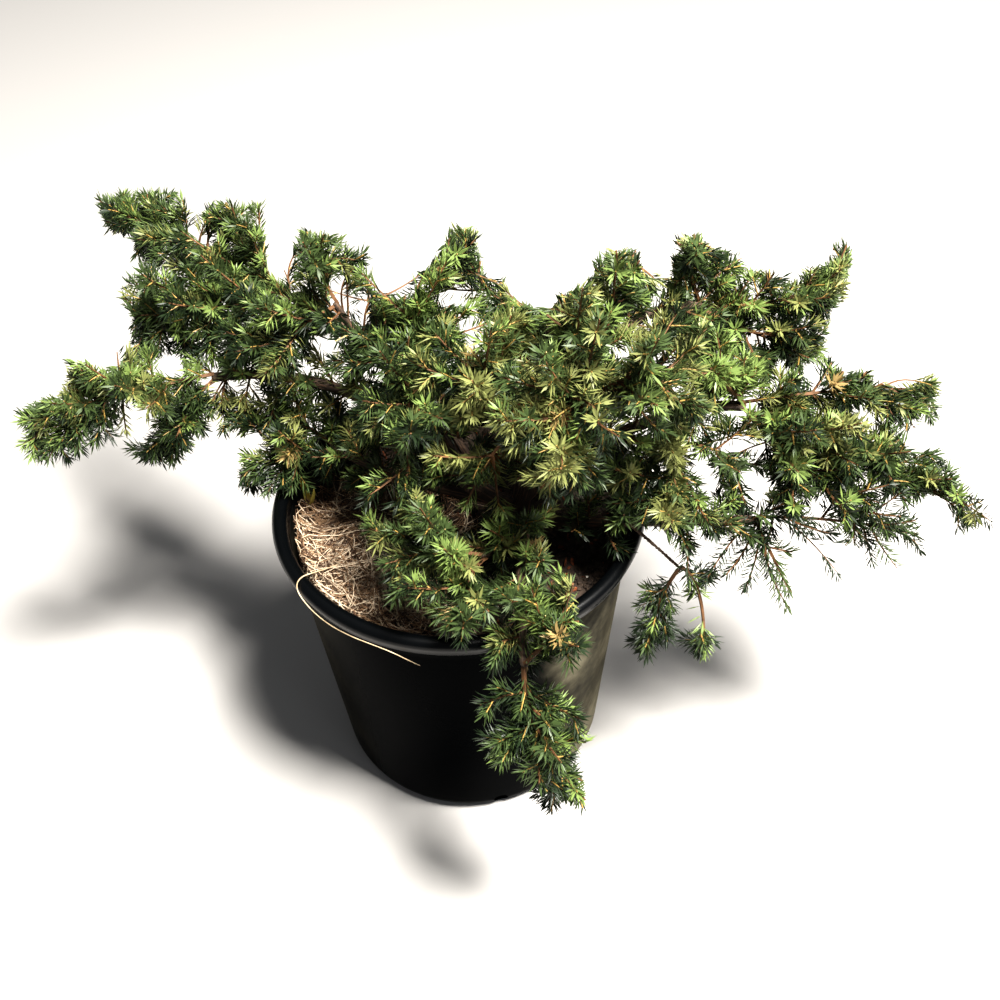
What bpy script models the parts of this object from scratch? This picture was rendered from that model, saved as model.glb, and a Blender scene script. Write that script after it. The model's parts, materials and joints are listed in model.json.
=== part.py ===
"""A spreading juniper in a plain black nursery pot.

A short leaning trunk stands in the compost and forks into long, low boughs. Each bough ends in
masses of needle shoots. Metres, +Z up, and the origin is the middle of the pot's flat underside.
The crown is seen from the front when +X points to the right and +Y away from the eye.
"""

import math
import random
from collections import namedtuple

import bmesh
import bpy
import numpy as np
from mathutils import Quaternion, Vector
from mathutils.bvhtree import BVHTree

MM = 0.001
SEED = 11
SEAT_GAP = 0.3 * MM
UP = Vector((0, 0, 1))

# Pot: a thin moulded container with a rolled rim.
POT_HEIGHT = 212 * MM
RIM_RADIUS = 112.5 * MM
RIM_BAND = 11 * MM
RIM_LIP = 7.5 * MM
BASE_RADIUS = 91 * MM
POT_WALL = 1.8 * MM
FOOT_ROUNDING = 12 * MM
POT_SIDES = 36
DRAIN_HOLES = 4
DRAIN_HOLE_RADIUS = 5 * MM
DRAIN_HOLE_HEIGHT = 9 * MM

# Compost, with a low mat of dry grass heaped up on the left of the trunk.
SOIL_LEVEL = 180 * MM
SOIL_RINGS = 5
MAT_CENTRE = (-58 * MM, -24 * MM)
MAT_REACH = 62 * MM
MAT_HEIGHT = 17 * MM

# Needle shoots: a three-sided core, with a whorl of three needles to each length of it. The
# needles are larger than life and fewer, so that the crown looks as full as a real one.
WHORL_GAP = 11 * MM
NEEDLE_LENGTH = 17 * MM
NEEDLE_LEAN = math.radians(50)
CROWD_REACH = 7 * MM
OWN_ROOM = 11 * MM
STEM_RADIUS = 1.4 * MM
STEM_TIP_RADIUS = 0.8 * MM
TWIG_RADIUS = 0.85 * MM
TWIG_TIP_RADIUS = 0.45 * MM
BARE_BASE = 7 * MM
WHORL_TURN = math.radians(40)
TWIG_LEAN = math.radians(52)
TWIG_LIFT = 0.18
TWIG_ROOT_SHARE = 0.5
TWIG_LENGTHS = (0.85, 1.05)
TWIGS_FROM, TWIGS_TO = 0.15, 0.9
LENGTH_AT_FOOT, LENGTH_LOST_TO_TIP = 1.15, 0.5
BUD_NEEDLE, YOUNG_NEEDLE = 0.62, 0.85

# A limb starts on its parent, at that share of the parent's length. The other numbers are its
# heading from +X in degrees, then in millimetres its reach, its rise, its bow upwards and to the
# left, and its radius at the base and at the tip.
Limb = namedtuple("Limb", "name parent at heading reach rise arch sweep base_radius tip_radius")
TRUNK_FOOT = Vector((52 * MM, 1 * MM, SOIL_LEVEL))
TRUNK = Limb("trunk", None, 0, -162, 47, 55, 0, 0, 6.5, 5.2)
FLARE = ((0, 10.5), (2.5, 8.2), (6, 6.8))
FIRST_TRUNK_SHARE = 0.3
LIMBS = (
    Limb("upper_left_bough", "trunk", 1.0, 135, 150, 60, 20, -4, 4.2, 2.8),
    Limb("left_bough", "trunk", 0.9, 156, 172, 33, 16, -16, 4.0, 2.8),
    Limb("low_left_bough", "trunk", 0.68, 159, 104, 11, 6, 12, 3.0, 2.2),
    Limb("centre_bough", "upper_left_bough", 0.12, 153, 11, 45, 0, 4, 3.0, 2.6),
    Limb("high_bough", "trunk", 0.35, -42, 48, 119, 16, -3, 4.5, 3.2),
    Limb("upper_right_bough", "high_bough", 0.4, 41, 128, 36, 20, 12, 3.6, 2.8),
    Limb("right_bough", "high_bough", 0.12, 7, 125, 50, 20, -2, 3.8, 3.0),
    Limb("low_right_bough", "trunk", 0.13, -19, 126, 38, 23, -24, 3.5, 2.4),
    Limb("front_bough", "trunk", 0.2, -95, 128, 26, 29, -4, 3.5, 2.5),
    Limb("left_upright_limb", "upper_left_bough", 0.62, -168, 9, 24, 0, 0, 2.2, 2.0),
    Limb("crest_limb", "high_bough", 0.62, 104, 89, 14, 22, -8, 2.2, 1.6),
    Limb("high_left_limb", "high_bough", 0.45, -150, 23, 16, 3, 12, 2.2, 2.0),
    Limb("inner_right_limb", "right_bough", 0.4, -8, 42, -2, 0, 0, 2.2, 2.0),
    Limb("hanging_limb", "low_right_bough", 0.45, -25, 33, -25, 0, 0, 2.0, 1.8),
    Limb("front_left_limb", "front_bough", 0.3, -125, 41, 15, 0, 0, 2.2, 2.0),
    Limb("back_left_bough", "trunk", 0.6, 113, 142, 11, 6, 6, 3.0, 2.2),
    Limb("back_bough", "trunk", 0.42, 84, 115, 18, 9, -4, 3.0, 2.2),
    Limb("back_right_bough", "high_bough", 0.28, 48, 131, 2, 6, -8, 3.0, 2.2),
)
LIMB_POINTS = 7
COLLAR_LENGTH = 0.6
COLLAR_CLEARANCE = 1.5
LEAST_SLANT = 0.45

# A mass grows from one stem on a limb's tip. Its first numbers are as a limb's. Then come how far
# its twigs may stand out from the stem, and how many twigs it has.
Mass = namedtuple("Mass", "name limb heading reach rise arch sweep spread twigs")
MASSES = (
    Mass("upper_left_tip", "upper_left_bough", 140, 190, -10, 15, 6, 40, 12),
    Mass("upper_left_tuft", "upper_left_bough", 126, 70, 30, -2, 6, 32, 7),
    Mass("upper_left_fan", "upper_left_bough", 177, 109, -27, 9, 7, 40, 10),
    Mass("left_upright", "left_upright_limb", 115, 21, 30, 5, 5, 30, 6),
    Mass("left_inner", "left_upright_limb", 171, 49, -35, 3, 8, 38, 8),
    Mass("left_tip", "left_bough", -168, 114, -12, 12, 14, 34, 11),
    Mass("left_hanging", "left_bough", -150, 50, -40, 8, 1, 28, 6),
    Mass("left_under", "low_left_bough", 167, 62, 8, 8, -5, 28, 6),
    Mass("over_rim", "low_left_bough", -172, 61, -16, 8, 3, 28, 6),
    Mass("centre_top", "centre_bough", 80, 64, 35, 13, 12, 36, 9),
    Mass("centre_left", "centre_bough", 111, 70, 15, 6, 12, 36, 9),
    Mass("centre_low", "centre_bough", -100, 48, -25, 13, -4, 38, 9),
    Mass("crest", "crest_limb", 116, 63, 20, 8, 11, 28, 7),
    Mass("crown_top", "high_bough", 94, 55, 17, 14, 6, 38, 9),
    Mass("crown_arch", "high_bough", 67, 85, 12, 36, -1, 26, 9),
    Mass("crown_front", "high_bough", -112, 46, -18, 21, -2, 44, 11),
    Mass("crown_right", "high_bough", 13, 42, -3, 19, -11, 38, 9),
    Mass("crown_left", "high_left_limb", 127, 26, 30, 10, 6, 40, 9),
    Mass("crown_low", "high_left_limb", -149, 18, -20, 5, -1, 40, 7),
    Mass("upper_right_tip", "upper_right_bough", 24, 109, 2, 6, -25, 32, 10),
    Mass("upper_right_crest", "upper_right_bough", 102, 11, 37, 9, 8, 34, 7),
    Mass("upper_right_under", "upper_right_bough", 2, 73, -36, 5, -13, 32, 9),
    Mass("right_tuft", "right_bough", -134, 42, 50, 0, -1, 28, 7),
    Mass("right_tip", "right_bough", 8, 118, -10, 12, -9, 32, 10),
    Mass("right_fan", "right_bough", -17, 108, -38, 7, -5, 42, 11),
    Mass("right_low", "right_bough", -37, 78, -40, 3, -5, 38, 10),
    Mass("inner_right", "inner_right_limb", -28, 42, -10, 5, 0, 38, 7),
    Mass("inner_front", "inner_right_limb", -120, 40, -12, 6, 0, 42, 9),
    Mass("low_right_tip", "low_right_bough", 0, 104, -23, 6, -1, 30, 8),
    Mass("low_right_mid", "low_right_bough", -45, 35, -43, 1, -1, 28, 5),
    Mass("hanging_mid", "hanging_limb", -54, 26, -55, 8, 5, 20, 5),
    Mass("hanging_inner", "hanging_limb", -127, 29, -50, 5, -3, 20, 5),
    Mass("front_tip", "front_bough", -44, 49, -88, 11, -14, 32, 10),
    Mass("front_right", "front_bough", 47, 31, 32, 11, -10, 28, 7),
    Mass("front_left", "front_left_limb", 161, 40, 2, 6, 7, 36, 8),
    Mass("front_low", "front_left_limb", -113, 35, -8, 6, -2, 32, 6),
    Mass("back_left", "back_left_bough", 117, 98, -10, 5, -2, 45, 10),
    Mass("back", "back_bough", 82, 70, -10, 0, 0, 45, 9),
    Mass("back_right", "back_right_bough", 55, 60, -10, 5, -1, 45, 10),
)

BLACK_PLASTIC = ("nursery_pot_plastic", (0.012, 0.013, 0.016, 1), 0.35)
COMPOST = ("potting_compost", (0.035, 0.026, 0.02, 1), 0.95)
BARK = ("juniper_bark", (0.10, 0.075, 0.06, 1), 0.85)
NEEDLES = ("juniper_needles", (0.07, 0.13, 0.04, 1), 0.55)


def clear_scene():
    for obj in list(bpy.data.objects):
        bpy.data.objects.remove(obj, do_unlink=True)


def new_collection(name, hidden=False):
    collection = bpy.data.collections.new(name)
    collection.hide_render = hidden
    bpy.context.scene.collection.children.link(collection)
    return collection


def surface(finish):
    """The material of that finish, made on its first use."""
    name, colour, roughness = finish
    material = bpy.data.materials.get(name)
    if material is None:
        material = bpy.data.materials.new(name)
        material.use_nodes = True
        shader = material.node_tree.nodes["Principled BSDF"]
        shader.inputs["Base Color"].default_value = colour
        shader.inputs["Roughness"].default_value = roughness
    return material


def add_object(name, data, collection, finish=None):
    obj = bpy.data.objects.new(name, data)
    collection.objects.link(obj)
    if finish:
        data.materials.append(surface(finish))
    return obj


def settled_mesh(obj):
    """The object's mesh as its modifiers leave it."""
    graph = bpy.context.evaluated_depsgraph_get()
    return bpy.data.meshes.new_from_object(obj.evaluated_get(graph))


def weld(mesh):
    """Joins points that lie together, such as those of a tube and its loose caps."""
    bm = bmesh.new()
    bm.from_mesh(mesh)
    bmesh.ops.remove_doubles(bm, verts=bm.verts, dist=0.01 * MM)
    bm.to_mesh(mesh)
    bm.free()


def drop_scraps(mesh):
    """Keeps only the largest of a mesh's bodies, even where a scrap touches it at a corner."""
    bm = bmesh.new()
    bm.from_mesh(mesh)
    left, bodies = set(bm.faces), []
    while left:
        body, edge = set(), [left.pop()]
        while edge:
            face = edge.pop()
            body.add(face)
            joints = [link for link in face.edges if len(link.link_faces) == 2]
            near = {other for link in joints for other in link.link_faces} & left
            left -= near
            edge.extend(near)
        bodies.append(body)
    largest = max(bodies, key=len)
    scraps = [face for face in bm.faces if face not in largest]
    bmesh.ops.delete(bm, geom=scraps, context="FACES")
    bm.to_mesh(mesh)
    bm.free()


def shade_round(mesh, crease=math.radians(50)):
    mesh.shade_smooth()
    mesh.set_sharp_from_angle(angle=crease)


def turned(name, profile, collection, finish, sides=POT_SIDES):
    """A solid turned about Z. The profile runs up the inside and down the outside."""
    mesh = bpy.data.meshes.new(name)
    edges = [(i, i + 1) for i in range(len(profile) - 1)]
    mesh.from_pydata([(radius, 0, height) for radius, height in profile], edges, [])
    obj = add_object(name, mesh, collection, finish)
    screw = obj.modifiers.new("Turn", "SCREW")
    screw.steps = sides
    screw.render_steps = sides
    screw.use_merge_vertices = True
    screw.merge_threshold = 0.0001
    obj.data = settled_mesh(obj)
    obj.modifiers.clear()
    weld(obj.data)
    return obj


def wall_radius(height):
    """Outer radius of the pot's tapering wall."""
    top = RIM_RADIUS - RIM_LIP
    return BASE_RADIUS + (top - BASE_RADIUS) * height / POT_HEIGHT


def arc(centre, radius, start, end, steps):
    """Points of a round stretch of a profile, with angles in degrees from +X."""
    turns = [math.radians(start + (end - start) * i / steps) for i in range(steps + 1)]
    return [(centre[0] + radius * math.cos(a), centre[1] + radius * math.sin(a)) for a in turns]


def pot(collection, cutters):
    """The pot: floor, tapering wall, rolled rim with its band, and drain holes round the foot."""
    inner_top = wall_radius(POT_HEIGHT) - POT_WALL
    roll = (RIM_RADIUS - inner_top) / 2
    foot = (BASE_RADIUS - FOOT_ROUNDING, FOOT_ROUNDING)
    profile = [(0, POT_WALL), (foot[0], POT_WALL)]
    profile += arc(foot, FOOT_ROUNDING - POT_WALL, -60, 0, 1)
    profile += [(inner_top, POT_HEIGHT - roll)]
    profile += arc((inner_top + roll, POT_HEIGHT - roll), roll, 150, 0, 4)
    profile += [(RIM_RADIUS, POT_HEIGHT - RIM_BAND)]
    profile += [(wall_radius(POT_HEIGHT - RIM_BAND), POT_HEIGHT - RIM_BAND)]
    profile += arc(foot, FOOT_ROUNDING, 0, -90, 3)
    profile += [(0, 0)]
    obj = turned("pot", profile, collection, BLACK_PLASTIC)
    for i in range(DRAIN_HOLES):
        angle = math.tau * i / DRAIN_HOLES - math.radians(78)
        out = Vector((math.cos(angle), math.sin(angle), 0))
        bpy.ops.mesh.primitive_cylinder_add(
            vertices=8,
            radius=DRAIN_HOLE_RADIUS,
            depth=4 * FOOT_ROUNDING,
            location=out * BASE_RADIUS + UP * DRAIN_HOLE_HEIGHT,
            rotation=out.to_track_quat("Z", "Y").to_euler(),
        )
        hole = bpy.context.active_object
        hole.name = f"drain_hole_{i + 1}"
        hole.display_type = "WIRE"
        hole.hide_render = True
        for holder in hole.users_collection:
            holder.objects.unlink(hole)
        cutters.objects.link(hole)
        cut = obj.modifiers.new(hole.name, "BOOLEAN")
        cut.operation = "DIFFERENCE"
        cut.object = hole
    shade_round(obj.data)
    return obj


def mat_height(x, y):
    """How far the dry grass stands above the bare compost."""
    away = math.hypot(x - MAT_CENTRE[0], y - MAT_CENTRE[1]) / MAT_REACH
    return MAT_HEIGHT * math.cos(math.pi / 2 * away) ** 2 if away < 1 else 0


def soil(collection):
    """The compost that fills the pot, rising into the mat of dry grass."""
    floor = POT_WALL + SEAT_GAP
    inset = POT_WALL + 2 * SEAT_GAP
    foot = (BASE_RADIUS - FOOT_ROUNDING, FOOT_ROUNDING)
    side = wall_radius(SOIL_LEVEL) - inset
    rings = [side * (i / SOIL_RINGS) ** 0.8 for i in range(SOIL_RINGS, -1, -1)]
    profile = [(radius, SOIL_LEVEL) for radius in reversed(rings)]
    profile += arc(foot, FOOT_ROUNDING - inset, 0, -60, 1)
    profile += [(foot[0], floor), (0, floor)]
    obj = turned("soil", list(reversed(profile)), collection, COMPOST, sides=28)
    for vertex in obj.data.vertices:
        if vertex.co.z > SOIL_LEVEL - MM:
            vertex.co.z += mat_height(vertex.co.x, vertex.co.y)
    obj.data.flip_normals()
    shade_round(obj.data)
    return obj


def bowed_route(start, part):
    """The route of a limb or stem, from its numbers: a chord that bows upwards and sideways."""
    heading = math.radians(part.heading)
    ahead = Vector((math.cos(heading), math.sin(heading), 0))
    left = Vector((-ahead.y, ahead.x, 0))

    def at(share):
        bow = 4 * share * (1 - share)
        chord = (ahead * part.reach + UP * part.rise) * share
        return start + (chord + (UP * part.arch + left * part.sweep) * bow) * MM

    return at


def direction(route, share):
    step = 0.01
    return (route(min(1, share + step)) - route(max(0, share - step))).normalized()


class Growth:
    """A limb's route and radius, along with where it leaves its parent."""

    def __init__(self, limb, parent):
        self.limb = limb
        foot, along = parent.place(limb.at) if parent else (TRUNK_FOOT + UP * SEAT_GAP, UP)
        self.route = bowed_route(foot, limb)
        if parent is None:
            start = [(up / limb.rise, foot + UP * up * MM, radius * MM) for up, radius in FLARE]
            first_share = FIRST_TRUNK_SHARE
        else:
            start, first_share = self.collar(parent, foot, along)
        steps = [first_share + (1 - first_share) * i / (LIMB_POINTS - 2) for i in range(LIMB_POINTS - 1)]
        line = start + [(share, self.route(share), self.radius(share)) for share in steps]
        self.shares, self.points, self.radii = zip(*line)

    def radius(self, share):
        base, tip = self.limb.base_radius * MM, self.limb.tip_radius * MM
        return base + (tip - base) * share

    def collar(self, parent, foot, along):
        """The short stretch that stands flush off the parent, and where the route takes over."""
        ahead = direction(self.route, 0)
        base = self.radius(0)
        if self.limb.at == 1:
            out = along
            start = foot + out * SEAT_GAP
        else:
            out = (ahead - along * ahead.dot(along)).normalized()
            slant = max(LEAST_SLANT, ahead.dot(out))
            start = foot + ahead * (parent.radius(self.limb.at) + SEAT_GAP) / slant
        end = start + out * base * COLLAR_LENGTH
        clear = (end - foot).length + base * COLLAR_CLEARANCE
        first_share = next(s / 50 for s in range(50) if (self.route(s / 50) - foot).length > clear)
        return [(0, start, base), (first_share / 2, end, base)], first_share

    def place(self, share):
        """The point on the limb's line at that share of it, and the way the line runs there."""
        i = next(i for i, mark in enumerate(self.shares) if mark >= share)
        before, after = self.points[i - 1], self.points[i]
        part = (share - self.shares[i - 1]) / (self.shares[i] - self.shares[i - 1])
        return before.lerp(after, part), (after - before).normalized()

    def tip(self):
        """The tip, the way it points and its radius."""
        ahead = (self.points[-1] - self.points[-2]).normalized()
        return self.points[-1], ahead, self.radii[-1]


def limb_object(growth, collection):
    """A limb as a round curve that tapers, made a mesh."""
    limb = growth.limb
    curve = bpy.data.curves.new(limb.name, "CURVE")
    curve.dimensions = "3D"
    curve.bevel_depth = limb.base_radius * MM
    curve.bevel_resolution = 2 if limb.base_radius >= 3 else 1
    curve.use_fill_caps = True
    spline = curve.splines.new("POLY")
    spline.points.add(len(growth.points) - 1)
    for knot, point, radius in zip(spline.points, growth.points, growth.radii):
        knot.co = (*point, 1)
        knot.radius = radius / curve.bevel_depth
    guide = bpy.data.objects.new(limb.name + "_guide", curve)
    collection.objects.link(guide)
    mesh = settled_mesh(guide)
    weld(mesh)
    mesh.name = limb.name
    bpy.data.objects.remove(guide, do_unlink=True)
    bpy.data.curves.remove(curve)
    mesh.materials.clear()
    obj = add_object(limb.name, mesh, collection, BARK)
    shade_round(mesh)
    return obj


class Space:
    """What is already grown, as balls along every limb and shoot, so that new growth keeps clear."""

    def __init__(self):
        self.centres = np.empty((0, 3))
        self.radii = np.empty(0)
        self.owners = np.empty(0, int)

    def take(self, points, radii, owner):
        self.centres = np.vstack([self.centres, np.array(points, float)])
        self.radii = np.concatenate([self.radii, np.array(radii, float)])
        self.owners = np.concatenate([self.owners, np.full(len(points), owner)])

    def free(self, point, radius, owner):
        """Whether a ball there touches nothing that another owner holds, nor the pot."""
        other = self.owners != owner
        away = np.linalg.norm(self.centres[other] - np.array(point), axis=1)
        return bool((away > self.radii[other] + radius + SEAT_GAP).all()) and free_of_pot(point, radius)

    def roomy(self, point, owner):
        """Whether the owner's own shoots leave that point enough light."""
        own = self.centres[self.owners == owner]
        return bool((np.linalg.norm(own - np.array(point), axis=1) > OWN_ROOM).all())


def free_of_pot(point, radius):
    """Whether a ball there is clear of the pot, of the compost and of the ground."""
    out = math.hypot(point.x, point.y)
    if point.z - radius > POT_HEIGHT:
        return True
    beside_rim = point.z + radius > POT_HEIGHT - RIM_BAND
    outside = out - radius > (RIM_RADIUS if beside_rim else wall_radius(point.z))
    inside = out + radius < wall_radius(SOIL_LEVEL) - POT_WALL
    above = point.z - radius > SOIL_LEVEL + mat_height(point.x, point.y) + SEAT_GAP
    return (outside and point.z > radius + CROWD_REACH) or (inside and above)


class Shoot:
    """A needle shoot: stations along a route, with the sides where a needle stands after each."""

    def __init__(self, route, base_radius, tip_radius, owner, seat=None):
        marks = [route(i / 40) for i in range(41)]
        self.length = sum((b - a).length for a, b in zip(marks, marks[1:]))
        count = max(3, round(self.length / WHORL_GAP))
        self.points = [route(i / count) for i in range(count + 1)]
        self.radii = [base_radius + (tip_radius - base_radius) * i / count for i in range(count + 1)]
        self.owner = owner
        self.seat = seat
        bare = BARE_BASE / self.length * count
        self.needles = [set() if i < bare else set(range(3)) for i in range(count)]

    def middles(self):
        return [(a + b) / 2 for a, b in zip(self.points, self.points[1:])]

    def envelope(self):
        """How much room each length is given, by whether it bears needles."""
        return [CROWD_REACH if sides else STEM_RADIUS for sides in self.needles]

    def fits(self, space):
        middles = self.middles()
        outer = middles[len(middles) // 2 :]
        return all(space.roomy(middle, self.owner) for middle in outer) and all(
            space.free(middle, reach, self.owner) for middle, reach in zip(middles, self.envelope())
        )

    def outward(self, station, side):
        """The way that a side of the core faces, and the way that the shoot points there."""
        corners, ahead = list(ring_places(self))[station]
        out = corners[side] + corners[(side + 1) % 3] - 2 * self.points[station]
        out.rotate(Quaternion(ahead, WHORL_TURN / 2))
        return out.normalized(), ahead


def aim(part):
    """The way from the start of a limb or stem to its tip."""
    heading = math.radians(part.heading)
    return Vector((math.cos(heading) * part.reach, math.sin(heading) * part.reach, part.rise)).normalized()


def stem_start(mass, siblings, growth):
    """Where a mass's stem meets its limb's tip. Several stems stand evenly round its edge."""
    tip, ahead, radius = growth.tip()
    if len(siblings) == 1:
        return tip + ahead * SEAT_GAP
    first = ahead.orthogonal().normalized()
    second = ahead.cross(first)
    middle = sum((aim(part) for part in siblings), Vector()) / len(siblings)

    def bearing(part):
        aside = aim(part) - middle
        return math.atan2(aside.dot(second), aside.dot(first))

    order = sorted(siblings, key=bearing)
    slots = [math.tau * i / len(order) for i in range(len(order))]
    shift = sum(bearing(part) - slot for part, slot in zip(order, slots)) / len(order)
    turn = shift + slots[order.index(mass)]
    out = first * math.cos(turn) + second * math.sin(turn)
    return tip + ahead * SEAT_GAP + out * (radius - STEM_RADIUS / 2)


def twig_on(stem, station, side, length):
    """A twig out of the middle of one side of a stem. Its root is thin enough to sink well in."""
    out, ahead = stem.outward(station, side)
    root = stem.middles()[station]
    way = ahead * math.cos(TWIG_LEAN) + out * math.sin(TWIG_LEAN)

    def at(share):
        return root + (way * share + UP * TWIG_LIFT * share * share) * length

    twig = Shoot(at, TWIG_RADIUS, TWIG_TIP_RADIUS, stem.owner)
    twig.radii[0] = stem.radii[station + 1] * TWIG_ROOT_SHARE
    return twig


def grow_masses(limbs, space):
    """Each mass's shoots, its stem first. Stems are laid before any twig, then twigs in turn."""
    grown = {}
    for owner, mass in enumerate(MASSES):
        siblings = [other for other in MASSES if other.limb == mass.limb]
        start = stem_start(mass, siblings, limbs[mass.limb])
        seat = limbs[mass.limb].tip()[1]
        stem = Shoot(bowed_route(start, mass), STEM_RADIUS, STEM_TIP_RADIUS, owner, seat)
        space.take(stem.points, stem.radii, owner)
        grown[mass.name] = [stem]
    for shoots in grown.values():
        stem = shoots[0]
        space.take(stem.middles(), stem.envelope(), stem.owner)
    for number in range(max(mass.twigs for mass in MASSES)):
        for mass in MASSES:
            if number < mass.twigs:
                add_twig(mass, number, grown[mass.name], space)
    return grown


def add_twig(mass, number, shoots, space):
    """Adds a mass's next twig, on a side of its stem near the wanted place that has room for it."""
    stem = shoots[0]
    chance = random.Random(SEED * 1000 + stem.owner * 50 + number)
    share = TWIGS_FROM + (TWIGS_TO - TWIGS_FROM) * (number + chance.random()) / mass.twigs
    length = mass.spread * MM * (LENGTH_AT_FOOT - LENGTH_LOST_TO_TIP * share)
    length *= chance.uniform(*TWIG_LENGTHS)
    wanted = round(share * (len(stem.needles) - 1))
    stations = [i for i in range(wanted - 1, wanted + 2) if 0 < i < len(stem.needles)]
    places = [(i, side) for i in stations for side in stem.needles[i]]
    chance.shuffle(places)
    for station, side in places:
        twig = twig_on(stem, station, side, length)
        if twig.fits(space):
            space.take(twig.middles(), twig.envelope(), twig.owner)
            stem.needles[station].discard(side)
            shoots.append(twig)
            return


def ring_places(shoot):
    """The three corners of the core at every station, with the way the shoot points there."""
    ahead = (shoot.points[1] - shoot.points[0]).normalized()
    side = ahead.orthogonal().normalized()
    last = len(shoot.points) - 1
    for i, (point, radius) in enumerate(zip(shoot.points, shoot.radii)):
        now = (shoot.points[min(i + 1, last)] - shoot.points[max(i - 1, 0)]).normalized()
        if i == 0 and shoot.seat:
            now = shoot.seat
        side.rotate(ahead.rotation_difference(now))
        ahead = now
        corners = []
        for corner in range(3):
            out = side.copy()
            out.rotate(Quaternion(ahead, WHORL_TURN * i + corner * math.tau / 3))
            corners.append(point + out * radius)
        yield corners, ahead


def shoot_form(shoot):
    """A three-sided core extruded from station to station, with its sides poked into needles.
    Every face remembers the station and the side that it belongs to."""
    bm = bmesh.new()
    station = bm.faces.layers.int.new("station")
    place = bm.faces.layers.int.new("side")
    places = list(ring_places(shoot))
    ring = bmesh.ops.create_circle(bm, segments=3, radius=MM, cap_ends=True)["verts"]
    for vertex, corner in zip(ring, places[0][0]):
        vertex.co = corner
    end = ring[0].link_faces[0]
    sides = {}
    for i, (corners, ahead) in enumerate(places[1:]):
        grown = bmesh.ops.extrude_face_region(bm, geom=[end])["geom"]
        if i:
            bmesh.ops.delete(bm, geom=[end], context="FACES_ONLY")
        end = next(item for item in grown if isinstance(item, bmesh.types.BMFace))
        follower = {}
        for vertex in end.verts:
            before = next(e.other_vert(vertex) for e in vertex.link_edges if e.other_vert(vertex) in ring)
            follower[before] = vertex
        for k in range(3):
            pair = {follower[ring[k]], follower[ring[(k + 1) % 3]]}
            sides[i, k] = next(
                face for face in follower[ring[k]].link_faces if face != end and pair <= set(face.verts)
            )
        ring = [follower[vertex] for vertex in ring]
        for vertex, corner in zip(ring, corners):
            vertex.co = corner
    for (i, k), side in sides.items():
        side[station], side[place] = i, k
    for (i, k), side in sides.items():
        if k in shoot.needles[i]:
            axis = (shoot.points[i] + shoot.points[i + 1]) / 2
            grow_needle(bm, side, axis, places[i][1], NEEDLE_LENGTH * needle_share(shoot, i))
    bmesh.ops.triangulate(bm, faces=bm.faces)
    bmesh.ops.recalc_face_normals(bm, faces=bm.faces)
    if bm.calc_volume(signed=True) < 0:
        bmesh.ops.reverse_faces(bm, faces=bm.faces)
    return bm


def needle_share(shoot, i):
    """Needles are shorter towards the tip, where they close into a bud."""
    left = len(shoot.needles) - i
    return BUD_NEEDLE if left == 1 else YOUNG_NEEDLE if left == 2 else 1


def grow_needle(bm, side, axis, ahead, size):
    out = side.calc_center_median() - axis
    out = (out - ahead * out.dot(ahead)).normalized()
    tip = bmesh.ops.poke(bm, faces=[side])["verts"][0]
    tip.co += (out * math.sin(NEEDLE_LEAN) + ahead * math.cos(NEEDLE_LEAN)) * size


def tree_of(shoot):
    """A search tree of a shoot's form, with the station and side of each of its faces."""
    bm = shoot_form(shoot)
    station, place = bm.faces.layers.int["station"], bm.faces.layers.int["side"]
    marks = [(face[station], face[place]) for face in bm.faces]
    tree = BVHTree.FromBMesh(bm)
    bm.free()
    return tree, marks


def touching_needles(shoots, fixed):
    """The needles, as shoot, station and side, that touch another mass or one of the fixed trees."""
    forms = [tree_of(shoot) for shoot in shoots]
    touching = set()
    for a, (tree, marks) in enumerate(forms):
        touching |= {(a, *marks[face]) for solid in fixed for face, hit in tree.overlap(solid)}
        for b, (other_tree, other_marks) in enumerate(forms[:a]):
            if shoots[b].owner == shoots[a].owner:
                continue
            for face, hit in tree.overlap(other_tree):
                station, side = marks[face]
                mine = side in shoots[a].needles[station]
                touching.add((a, station, side) if mine else (b, *other_marks[hit]))
    return {(a, station, side) for a, station, side in touching if side in shoots[a].needles[station]}


def part_touching_needles(grown, solids):
    """Takes off each needle that would touch another mass, a limb, the pot or the compost."""
    graph = bpy.context.evaluated_depsgraph_get()
    fixed = [BVHTree.FromObject(obj, graph) for obj in solids]
    shoots = [shoot for members in grown.values() for shoot in members]
    touching = touching_needles(shoots, fixed)
    while touching:
        for a, station, side in touching:
            shoots[a].needles[station].discard(side)
        touching = touching_needles(shoots, fixed)


def shoot_mesh(name, shoot):
    bm = shoot_form(shoot)
    mesh = bpy.data.meshes.new(name)
    bm.to_mesh(mesh)
    bm.free()
    return mesh


def mass_object(name, shoots, collection):
    """A mass as one solid: its stem, with every twig joined to it by one union."""
    obj = add_object(name, shoot_mesh(name, shoots[0]), collection, NEEDLES)
    if len(shoots) == 1:
        return obj
    joining = new_collection("joining", hidden=True)
    for i, shoot in enumerate(shoots[1:]):
        add_object(f"{name}_twig_{i + 1}", shoot_mesh("twig", shoot), joining, NEEDLES)
    union = obj.modifiers.new("Join", "BOOLEAN")
    union.operation = "UNION"
    union.operand_type = "COLLECTION"
    union.collection = joining
    union.solver = "MANIFOLD"
    obj.data = settled_mesh(obj)
    obj.modifiers.clear()
    drop_scraps(obj.data)
    for twig in list(joining.objects):
        bpy.data.objects.remove(twig, do_unlink=True)
    bpy.data.collections.remove(joining)
    return obj


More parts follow.
